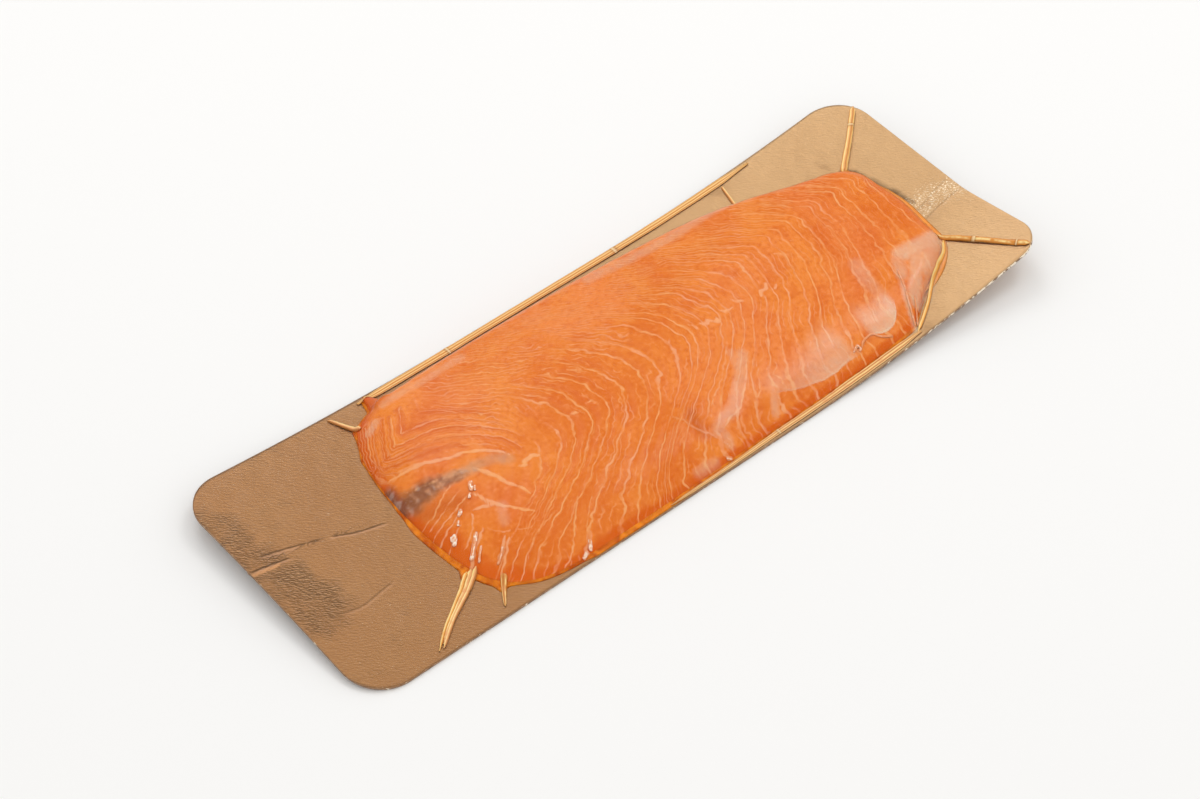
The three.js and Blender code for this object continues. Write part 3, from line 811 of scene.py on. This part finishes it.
# The lines that were drawn one by one, with ragged edges.
ragged = in_flesh("MULTIPLY_ADD", noise["ragged"], 1.3, -0.65)
drawn_lines = in_flesh("MapRange", in_flesh("ADD", stored["fat"], ragged), 1.15, 2, **SOFT)
all_fat = any_of(
    all_of(line, uneven, stored["flake_lines"]),
    all_of(second, second_gaps, stored["flake_lines"], 0.55),
    drawn_lines,
    all_of(streaks, stored["hatch"], 0.14),
    all_of(split, split_gaps, stored["far_flakes"], 0.85),
    all_of(
        nest_line, stored["nested_lines"], any_of(main_nest, stored["nested_fine"]),
        in_flesh("MULTIPLY_ADD", nest_own, 0.5, 0.5), in_flesh("MULTIPLY_ADD", uneven, 0.5, 0.5),
    ),
)
fibre = in_flesh("PINGPONG", in_flesh("MULTIPLY", counted, 9))
# Painted shade: each flake is darkest just past its line of fat and pales towards the next one.
past_nest = in_flesh("MapRange", in_flesh("FRACT", nest_place), 0.75, 0.1, **SOFT)
past_line = in_flesh("MapRange", in_flesh("FRACT", counted), 0.6, 0.05, **SOFT)
wet = in_flesh("MULTIPLY_ADD", noise["wet"], 1.4, in_flesh("ADD", stored["soaked"], -0.7))
# The dark muscle is brown at the bare end and pales to a grey streak.
dull_place = in_flesh("MULTIPLY_ADD", noise["dull"], 1.6, in_flesh("ADD", stored["band_share"], -0.8))
dull = layered(flesh, "#6C4A3A", [
    (in_flesh("MapRange", dull_place, 0.1, 0.8, **SOFT), 1, "#D29C74"),
    (in_flesh("MapRange", noise["grey"], 0.52, 0.66, **SOFT), 0.6, "#A79C92"),
])
mottled = in_flesh("ADD", stored["bloodline"], in_flesh("MULTIPLY_ADD", noise["uneven"], 2, -0.9))
fat_colour = layered(flesh, "#F9BA78", [
    (in_flesh("MapRange", noise["fat"], 0.4, 0.6, **SOFT), 1, "#F8B88C"),
])
tone = layered(flesh, "#E27018", [
    (in_flesh("MapRange", noise["warm"], 0.35, 0.65, **SOFT), 1, "#EE862E"),
    (in_flesh("MapRange", noise["pink"], 0.48, 0.7, **SOFT), 0.35, "#EE8048"),
    (fibre, 0.16, "#F5A05C"),
    (in_flesh("MapRange", noise["deep"], 0.5, 0.72, **SOFT), 0.5, "#DB5F0C"),
    (in_flesh("MapRange", noise["speckle"], 0.5, 0.7, **SOFT), 0.4, "#D4580C"),
    (in_flesh("MapRange", noise["speckle"], 0.48, 0.3, **SOFT), 0.3, "#F6A060"),
    # darker red-brown along the bare end's far rim and on the flap
    (stored["darker_rim_and_flap"], 0.6, "#C04A18"),
    # painted shade in the dent, and darker flesh by the dark band
    (stored["deep"], 0.6, "#C4560E"),
    # painted shade just past each line of fat, nested and chevron
    (all_of(past_nest, stored["nested_lines"]), 0.5, "#D4560E"),
    (all_of(past_line, stored["flake_lines"]), 0.16, "#D4560E"),
    (in_flesh("MapRange", wet, 0.2, 0.8, **SOFT), 0.85, "#DA5C00"),
    (in_flesh("MapRange", mottled, 0.4, 2.2, **SOFT),
     in_flesh("MapRange", stored["band_share"], 0.5, 0.9, 0.8, 0.4, **SOFT), dull),
    (all_fat, 0.58, fat_colour),
])
flesh_height = in_flesh("MULTIPLY_ADD", noise["dull"], 0.5, in_flesh("MULTIPLY", all_fat, 0.4))
flesh_relief = in_flesh("Bump", {"Height": flesh_height, "Strength": 0.5, "Distance": 0.6 * MM})
flesh_skin = in_flesh(
    "BsdfPrincipled",
    {"Base Color": tone, "Roughness": 0.5, "Specular IOR Level": 0.12, "Normal": flesh_relief},
)
in_flesh("OutputMaterial", flesh_skin)
fillet.data.materials.append(flesh)
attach(fillet, "root")
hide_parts("salmon")

# ---- Juice ----------------------------------------------------------------------------------------
# The little oil and brine that the vacuum has pressed out of the fish. It stands in the hollow
# between flesh, film and card, widest round the lower half of the bare end and at the cut end.
JUICE_HEIGHT = 0.9
JUICE_COLUMNS = 520
# Rows round the rim of juice: how far out they lie, as a share of its width, and how high.
JUICE_ROWS = [(-1, 1), (0, 0.95), (0.3, 0.6), (0.65, 0.25), (1, 0.02), (-1, 0.02), (-1, 1)]
# It creeps out along the pleats of film: the place of each tongue, its length and half width.
TONGUES = [
    ((-113.8, -38), 3.4, 2.2), ((-107.5, -50.5), 3.2, 2.4), ((-112, 35), 0.6, 3), ((154, 27), 2.6, 2.4),
    ((-102.5, 48), 1.6, 2.4),
]


def juice_width(x, y):
    bare = 1.7 * smooth((-104 - x) / 8) * smooth((-y + 2) / 12)
    cut = 2 * smooth((x - 120) / 22) * smooth((18 - y) / 12)
    near = 1.1 * smooth((-y - 50) / 8) * smooth((x + 78) / 10) * smooth((8 - x) / 25)
    far = -0.6 * smooth((y - 40) / 10) * smooth((x + 80) / 20)
    dry = -0.7 * smooth((-104 - x) / 6) * smooth((y - 2) / 8)
    width = 1.1 + bare + cut + near + far + dry
    for (at_x, at_y), length, half in TONGUES:
        width = width + length * np.exp(-(np.hypot(x - at_x, y - at_y) / half) ** 2)
    return width


def juice_height(x, y):
    """How high the juice, or without it nothing, stands on the card just outside the fillet."""
    outward = -np.min(inward(x, y), axis=0) / juice_width(x, y)
    return JUICE_HEIGHT * np.where(outward > 0, np.clip(1 - outward, 0, 1) ** 2, 0)


def juice_rim(u, v):
    """Once round the fillet: the near side, the cut end, the far side and the bare end."""
    share = (u * 4) % 4
    leg = np.floor(share)
    part = share - leg
    along = np.select([leg == 0, leg == 1, leg == 2], [part, 1, 1 - part], 0)
    across = np.select([leg == 0, leg == 1, leg == 2], [0, part, 1], 1 - part)
    x, y = fish_place(along, across)
    step = 0.004
    ahead = fish_place(
        np.select([leg == 0, leg == 2], [along + step, along - step], along),
        np.select([leg == 1, leg == 3], [across + step, across - step], across),
    )
    run = np.hypot(ahead[0] - x, ahead[1] - y)
    out_x, out_y = (ahead[1] - y) / run, -(ahead[0] - x) / run
    row = np.rint(v * (len(JUICE_ROWS) - 1)).astype(int)
    outward, rise = np.array(JUICE_ROWS)[row].T
    off = outward * juice_width(x, y)
    x, y = x + off * out_x, y + off * out_y
    return x, y, card_top(x, y) + 0.05 + rise * JUICE_HEIGHT


juice = bent_grid("juice", JUICE_COLUMNS, len(JUICE_ROWS) - 1, juice_rim, capped=True)

# Salmon oil in brine: deep amber that gathers colour where it is thick, and dull, because the
# film wets it.
amber = new_material("amber_salmon_oil")
in_oil = partial(add_node, amber)
oil_place = in_oil("TexCoord", out="Object")
swirl = in_oil("TexNoise", {"Vector": oil_place, "Scale": 24 / (100 * MM), "Detail": 3})
amber_colour = layered(amber, "#C25200", [
    (in_oil("MapRange", swirl, 0.35, 0.65), 1, "#F08C1C"),
    # painted light: the juice is lighter towards the cut end, where its steep face stands in shade
    (in_oil("MapRange", in_oil("SeparateXYZ", oil_place), 100 * MM, 130 * MM), 0.7, "#FFA850"),
])
amber_skin = in_oil(
    "BsdfPrincipled", {"Base Color": amber_colour, "Roughness": 0.5, "Specular IOR Level": 0.1}
)
in_oil("OutputMaterial", amber_skin)
juice.data.materials.append(amber)
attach(juice, "root")

# ---- Film -----------------------------------------------------------------------------------------
# The clear skin: plastic film drawn down hot by vacuum, so that it clings to fish and card, and
# comes down to the card in a small hollow round the fish. In places it carries a painted reflection.
FILM_COLUMNS = 310
FILM_ROWS = 116
FILM_THICKNESS = 0.12
CLING = 0.3  # how far the vacuum pulls the film down between two neighbouring points


def film_sheet():
    """Heights of the film's underside on a grid of shares along and across the card."""
    u, v = np.meshgrid(np.linspace(0, 1, FILM_COLUMNS + 1), np.linspace(0, 1, FILM_ROWS + 1), indexing="ij")
    x, y = card_place(u, v)
    over_flesh = np.where(np.min(inward(x, y), axis=0) > 0, flesh_top(x, y), -1)
    lowest = np.maximum(card_top(x, y) + juice_height(x, y), over_flesh) + GAP
    z = lowest.copy()
    for _ in range(80):
        beside = z.copy()
        beside[1:-1, 1:-1] = (z[:-2, 1:-1] + z[2:, 1:-1] + z[1:-1, :-2] + z[1:-1, 2:]) / 4 - CLING
        z = np.maximum(lowest, beside)
    return z


sheet = film_sheet()
sheet_x = card_place(np.linspace(0, 1, FILM_COLUMNS + 1), 0.5)[0]


def film_top(x, y):
    """How high the film's upper face is at a place on the card."""
    column = np.interp(x, sheet_x, np.arange(FILM_COLUMNS + 1))
    row = np.clip((y / reach_at(x, y) + 1) / 2, 0, 1) * FILM_ROWS
    c = np.minimum(column.astype(int), FILM_COLUMNS - 1)
    r = np.minimum(row.astype(int), FILM_ROWS - 1)
    lower = mix(sheet[c, r], sheet[c + 1, r], column - c)
    upper = mix(sheet[c, r + 1], sheet[c + 1, r + 1], column - c)
    return mix(lower, upper, row - r) + FILM_THICKNESS


def film_place(u, v):
    x, y = card_place(u, v)
    at = np.rint(u * FILM_COLUMNS).astype(int), np.rint(v * FILM_ROWS).astype(int)
    return x, y, sheet[at] + FILM_THICKNESS


# The lower edge of the two broad patches of painted reflection on the near side, and lines of
# places, each with its half width and strength, that smaller ones lie on: by the dent, and in the web at the
# cut end.
SHEEN_EDGE = through_stops([
    (33, -50.5), (42.4, -51.4), (47.3, -53), (53.4, -55), (60.4, -56.4), (68.2, -56.8), (76.7, -56.4),
    (84, -56), (90, -53.6), (94, -53.4), (98.5, -55), (104, -54.8), (109, -51.4), (112, -46),
])
SHEEN_LINES = [
    ([(113, -22), (110, -31), (109, -42)], 3.4, 0.4),
    ([(132, -30.5), (139, -32), (146, -33), (152, -32)], 4.4, 1.1),
    ([(138, -33), (133, -38.5), (128, -43.6), (123, -48), (121, -51.5)], 3.2, 0.8),
    ([(154, -34), (148, -38.5), (141.5, -41.8), (135, -45.5), (127, -51.5)], 2.6, 0.6),
    ([(128, -32), (124, -39)], 3, 0.6),
    ([(147, -35.5), (140, -38), (134, -42)], 3, 0.8),
    ([(121, -42), (117.5, -47.5), (114.5, -54), (112, -61)], 1.1, 0.7),
    ([(8, -50), (14, -47.6), (20, -46.6), (32, -37), (41, -28)], 2.8, 0.5),
    ([(38, -24), (35.5, -29), (34, -33)], 1.6, 0.35),
    ([(40, -49.5), (37, -53), (34, -57)], 1.8, 0.5),
    ([(9, -54), (8, -57.5)], 2.2, 0.45),
    ([(-2, -60), (-12, -60)], 2, 0.4),
    ([(-88, -26), (-92, -33)], 2.5, 0.3),
    ([(20, 47), (50, 44), (68, 42.8), (85, 43), (104, 42)], 2.6, 0.42),
    ([(-90, 49), (-72, 47.5), (-50, 47)], 2.2, 0.35),
    ([(-98, 44), (-103, 42)], 2, 0.45),
]

film = bent_grid("skin_film", FILM_COLUMNS, FILM_ROWS, film_place)
x, y = places(film)
above_edge = y - SHEEN_EDGE(x)
broad = smooth((x - 34) / 9) * smooth((84 - x) / 7) * mix(0.4, 0.85, smooth((x - 45) / 25))
broad = broad * smooth(1 - above_edge / mix(13, 25, smooth((x - 48) / 26)))
right = smooth((x - 91) / 5) * smooth((113 - x) / 4) * smooth(1 - above_edge / 19) * 1.15
store(film, "patch", broad + right)
store(film, "patch_edge", np.clip(above_edge, -5, 5))
gloss_and_painted_sheen = np.zeros(len(x))
for points, half, strength in SHEEN_LINES:
    gloss_and_painted_sheen = np.maximum(gloss_and_painted_sheen, strength * smooth(1.4 - line_distance(x, y, points)[0] / half))
store(film, "gloss_and_painted_sheen", gloss_and_painted_sheen)
film_wall = film.modifiers.new("film_thickness", "SOLIDIFY")
film_wall.thickness = FILM_THICKNESS * MM
film_wall.offset = -1

# Clear skin film, cast and stretched: it shows what lies under it and mirrors the softboxes. In
# patches over the flesh it mirrors them a little more, and a pale gleam is painted on it there as a
# diffuse veil, a painted reflection.
clear = new_material("clear_cast_skin_film")
on_film = partial(add_node, clear)
clear_place = on_film("TexCoord", out="Object")
sag, folds = (
    on_film("TexNoise", {"Vector": clear_place, "Scale": cells / (100 * MM), "Detail": detail})
    for cells, detail in [(9, 2), (15, 3)]
)
sheen_at, patch, patch_edge = (
    on_film("Attribute", out="Fac", attribute_name=name) for name in ("gloss_and_painted_sheen", "patch", "patch_edge")
)
wavy_edge = on_film("MULTIPLY_ADD", sag, 2.4, patch_edge)
above = on_film("MapRange", wavy_edge, 0.9, 1.5, **SOFT)
off_rim = on_film("ABSOLUTE", on_film("ADD", wavy_edge, -1.5))
rim_gleam = on_film("MapRange", off_rim, 0.9, 0.2, 0, 0.3, **SOFT)
in_patch = on_film("MULTIPLY", on_film("ADD", above, rim_gleam), patch)
sheen_share = on_film("MAXIMUM", sheen_at, in_patch)
film_relief = on_film("Bump", {"Height": sag, "Strength": 0.25, "Distance": 1 * MM})
turned = on_film("LayerWeight", {"Blend": 0.5, "Normal": film_relief}, out="Facing")
mirrored = on_film("MULTIPLY_ADD", on_film("POWER", turned, 5), 0.2, 0.004)
mirrored = on_film("MULTIPLY_ADD", sheen_share, 0.012, mirrored)
mirror = on_film("BsdfGlossy", {"Roughness": 0.12, "Normal": film_relief})
bare_film = on_film("MixShader", mirrored, on_film("BsdfTransparent"), mirror)
veil_strength = on_film("MapRange", folds, 0.35, 0.65, 0.17, 0.25, **SOFT)
# painted reflection: a pale diffuse veil laid where the sheen is
painted_veil = on_film("BsdfDiffuse", {"Color": "#FFF0CC"})
film_skin = on_film("MixShader", on_film("MULTIPLY", sheen_share, veil_strength), bare_film, painted_veil)
on_film("OutputMaterial", film_skin)
film.data.materials.append(clear)
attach(film, "root")
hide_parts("film")

# ---- Pleats and rolled edges ------------------------------------------------------------------------
# Spare film, gathered as it shrank: folded ribs that stand on the card from each corner of the
# fish, short ones across the narrow strips, and rolls along both long edges. Oil has crept in.
GATHERS = [
    # places, height and width at both ends, how bright and how milky the folds are, how many, rings
    ("pleat_far_cut", [(152, 27), (159.3, 33.2), (168, 40.3), (176.5, 47.8), (183, 53.6)],
     (2, 1.4), (3.2, 2.6), (1, 0.1), 2, [0.68]),
    ("pleat_near_cut", [(154.5, -28.5), (159, -33.4), (166, -43.6), (173.7, -57), (177.6, -62.8)],
     (1.4, 1.1), (2.2, 2.7), (0.4, 0), 1, [0.46, 0.78]),
    ("pleat_near_bare_left", [(-116.2, -38.3), (-119.5, -40.6), (-124, -43.9), (-131, -48.5),
                              (-139.7, -54.2), (-149, -61.8)],
     (1.2, 0.6), (2.3, 1.1), (0.9, 0), 1, []),
    ("pleat_near_bare_right", [(-112.4, -39.4), (-115.6, -41.8), (-119.8, -44.7), (-127, -48.9),
                               (-134, -52.8), (-142.4, -58.6), (-146.8, -61.8)],
     (1.3, 0.6), (2.2, 1.1), (0.8, 0.4), 1, []),
    ("pleat_near_bare_middle", [(-114.3, -38.7), (-117.5, -41.2), (-121.8, -44.3), (-129, -48.7),
                                (-136.8, -53.5), (-145.7, -60.2)],
     (1, 0.5), (2.8, 1.3), (0.6, 0.35), 1, []),
    ("pleat_near_bare_short", [(-105.8, -49.1), (-109, -52.9), (-112.2, -57.1), (-115, -61)],
     (1.2, 0.5), (3, 1.1), (0.4, 0.1), 2, []),
    ("pleat_far_bare", [(-102.5, 48.8), (-105, 53), (-107, 57.4), (-109.4, 62.6)],
     (1.5, 0.7), (2.4, 1.2), (1, 0.5), 1, []),
    ("pleat_far_cut_short", [(105, 45), (107, 52), (109, 60)], (0.8, 0.5), (1.6, 1.2), (1, 0.3), 1, []),
    ("edge_far_roll", [(-94, 62.4), (-42, 62.9), (50, 62.9), (127, 62.6)],
     (0.32, 0.36), (3.4, 3.6), (1, 0.12), 4, [0.317, 0.66]),
    ("edge_near_roll", [(-30, -64.1), (-8, -64), (10, -63.6), (40, -62.8), (80, -62.6), (113, -62.6)],
     (0.45, 0.7), (1, 3.3), (0.8, 0.42), 3, [0.544]),
    ("edge_cut_hem", [(156.6, -31.6), (151.5, -37.2), (143.7, -41.7), (135.7, -46.3), (127, -52.9),
                      (118.6, -58.2), (112, -62)], (0.15, 0.16), (1.8, 1.5), (1, 0), 1, []),
]
# Sharp creases and blisters of film on the fish: places, width, height and how strongly a painted glint
# flashes on them.
CREASES = [
    ([(-89.6, -9), (-91.4, -10), (-92.2, -12), (-93.2, -12.4)], 1.6, 0.22, 1),
    ([(-90.2, -11.4), (-91.6, -13.6)], 1, 0.18, 0.9),
    ([(-93.8, -13), (-95.8, -15)], 1.1, 0.18, 0.9),
    ([(-101.6, -16.4), (-102.6, -17.8), (-104.4, -18.4)], 1.3, 0.2, 1),
    ([(-105.4, -19.8), (-107, -21.6)], 1, 0.18, 0.9),
    ([(-110.2, -23), (-111.4, -25), (-113.4, -26.6)], 1.8, 0.25, 1),
    ([(-111.6, -22.8), (-112.8, -24.6)], 1, 0.2, 0.8),
    ([(-103.4, -28.8), (-106.4, -31.4), (-109.7, -34.3), (-112.4, -36.4)], 1.7, 0.3, 0.85),
    ([(-105.6, -34.6), (-108.4, -37), (-110.6, -39.2)], 1, 0.22, 0.6),
    ([(-99.6, -40.8), (-103, -43.4), (-105.6, -44.8)], 1, 0.2, 0.5),
    ([(-69, -58.6), (-70, -60.4), (-71.6, -62)], 1.5, 0.25, 0.8),
    ([(-72.6, -61.6), (-76, -63)], 1.3, 0.25, 0.7),
    ([(5.5, -62), (3, -61)], 1.3, 0.25, 0.8),
    ([(81.2, -54.4), (84.2, -53), (85, -54.6), (83.6, -55.4)], 0.9, 0.2, 0.6),
    ([(85.4, -55), (88.6, -52.8), (92.6, -52.4), (95.8, -55.2), (101, -58)], 0.8, 0.18, 0.2),
    ([(119.5, -46), (116.5, -52), (113, -59.5)], 0.9, 0.2, 0.3),
    ([(121.5, -49.5), (118.5, -54), (114, -59.8)], 0.8, 0.2, 0.3),
    ([(124, -36), (121.5, -42), (119.8, -46)], 0.7, 0.15, 0.25),
]
RING_HALF = 0.9  # half the width of a ring, in columns of the rib
RING_SWELL, UNEVEN_SWELL = 0.14, 0.06
END_TAPER = 12  # each end tapers over one part in this many of the rib
RIB_ROWS = 24


def gathered(name, points, heights, widths, rings, folds, columns, steepness):
    """A rib of folded film along a line of places on the film, lobed across."""
    stops = np.linspace(0, 1, len(points))
    at_x, at_y = (through_stops(list(zip(stops, values))) for values in zip(*points))

    def ring(u):
        return sum((np.exp(-((u - at) * columns / RING_HALF) ** 2) for at in rings), np.zeros_like(u))

    def wrap(u, v):
        turn = 2 * math.pi * v
        x, y = at_x(u), at_y(u)
        ahead_x, ahead_y = at_x(u + 0.01) - at_x(u - 0.01), at_y(u + 0.01) - at_y(u - 0.01)
        run = np.hypot(ahead_x, ahead_y)
        swell = 1 + RING_SWELL * ring(u) + UNEVEN_SWELL * ripple(u * 40, v * 0, 6)
        full = smooth(u * END_TAPER) * smooth((1 - u) * END_TAPER)
        off = -np.cos(turn) * mix(*widths, u) * swell / 2 * mix(0.35, 1, full)
        x, y = x - ahead_y / run * off, y + ahead_x / run * off
        lobes = 1 - (0.1 if folds > 1 else 0) * np.cos(4 * math.pi * folds * v)
        over = np.clip(np.sin(turn), 0, 1) ** steepness
        rise = mix(*heights, u) * mix(0.25, 1, full) * swell * lobes * over
        return x, y, film_top(x, y) + np.where(turn < math.pi, 0.05 + rise, -0.15)

    rib = bent_grid(name, columns, RIB_ROWS, wrap, capped=True)
    along, across = (read(rib, share) for share in ("along", "across"))
    store(rib, "ring", ring(along))
    store(rib, "fold", folds * 2 * np.minimum(across, 1 - across))
    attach(rib, "root")
    return rib


# The same film, folded many times on itself with oil between: bands of amber and gold along the
# folds, nearly white where a fold turns and mirrors the light.
folded = new_material("folded_film_with_oil")
on_folds = partial(add_node, folded)
folds_place = on_folds("TexCoord", out="Object")
wander, glints = (
    on_folds("TexNoise", {"Vector": folds_place, "Scale": cells / (100 * MM), "Detail": detail})
    for cells, detail in [(17, 3), (24, 2)]
)
bright, milky, ring, fold = (
    on_folds("Attribute", out="Fac", attribute_name=name) for name in ("bright", "milky", "ring", "fold")
)
off_fold = on_folds("PINGPONG", on_folds("MULTIPLY_ADD", wander, 0.35, fold))
glint = on_folds("MapRange", on_folds("MULTIPLY_ADD", bright, 0.3, glints), 0.5, 0.72, **SOFT)
folded_colour = layered(folded, "#C8741A", [
    (bright, 1, "#F4AC50"),
    (milky, 1, "#F0B48C"),
    (on_folds("MapRange", off_fold, 0.24, 0.06, **SOFT), 0.65, "#B06418"),
    (on_folds("MapRange", off_fold, 0.24, 0.5, 0, 0.95, **SOFT), glint, "#FFE296"),
    (on_folds("MapRange", ring, 0.05, 0.3), 0.4, "#8E4E12"),
    (on_folds("MapRange", ring, 0.5, 0.8), 0.7, "#FFE4B0"),
])
folded_relief = on_folds("Bump", {"Height": off_fold, "Strength": 0.6, "Distance": 0.6 * MM})
folded_skin = on_folds(
    "BsdfPrincipled",
    {"Base Color": folded_colour, "Roughness": 0.25, "Specular IOR Level": 0.35, "Normal": folded_relief},
)
on_folds("OutputMaterial", folded_skin)

# Film drawn into a sharp crease: opaque, with white painted glints of reflected light on it between
# stretches that take the colour of the flesh.
flashing = new_material("creased_film_edge")
on_crease = partial(add_node, flashing)
crease_place = on_crease("TexCoord", out="Object")
breaks, grit = (
    on_crease("TexNoise", {"Vector": crease_place, "Scale": cells / (100 * MM), "Detail": detail})
    for cells, detail in [(38, 3), (90, 2)]
)
painted_glint, across = (
    on_crease("Attribute", out="Fac", attribute_name=name) for name in ("painted_glint", "across")
)
ridge = on_crease("MULTIPLY_ADD", across, 4, on_crease("MULTIPLY_ADD", breaks, 2, -1))
ridge = on_crease("MapRange", on_crease("PINGPONG", ridge), 0.3, 0.1, **SOFT)
flash = on_crease("MAXIMUM", ridge, on_crease("MapRange", breaks, 0.5, 0.56, **SOFT))
flash = on_crease("MULTIPLY", flash, on_crease("MapRange", grit, 0.43, 0.52, 0.25, 1))
# painted glints of reflected light on the crease
flash_colour = layered(flashing, "#E88C4C", [(flash, painted_glint, "#FFEEDA")])
flash_skin = on_crease("BsdfPrincipled", {"Base Color": flash_colour, "Roughness": 0.4})
on_crease("OutputMaterial", flash_skin)

for name, points, heights, widths, (brightness, milkiness), folds, rings in GATHERS:
    columns, steepness = (220, 1.1) if name.startswith("edge") else (60, 0.7)
    rib = gathered(name, points, heights, widths, rings, folds, columns, steepness)
    rib.data.materials.append(folded)
    store(rib, "bright", brightness)
    store(rib, "milky", milkiness)
for number, (points, width, height, glint_strength) in enumerate(CREASES):
    crease = gathered(f"film_crease_{number + 1}", points, (height,) * 2, (width,) * 2, [], 1, 14, 1.2)
    crease.data.materials.append(flashing)
    store(crease, "painted_glint", glint_strength)
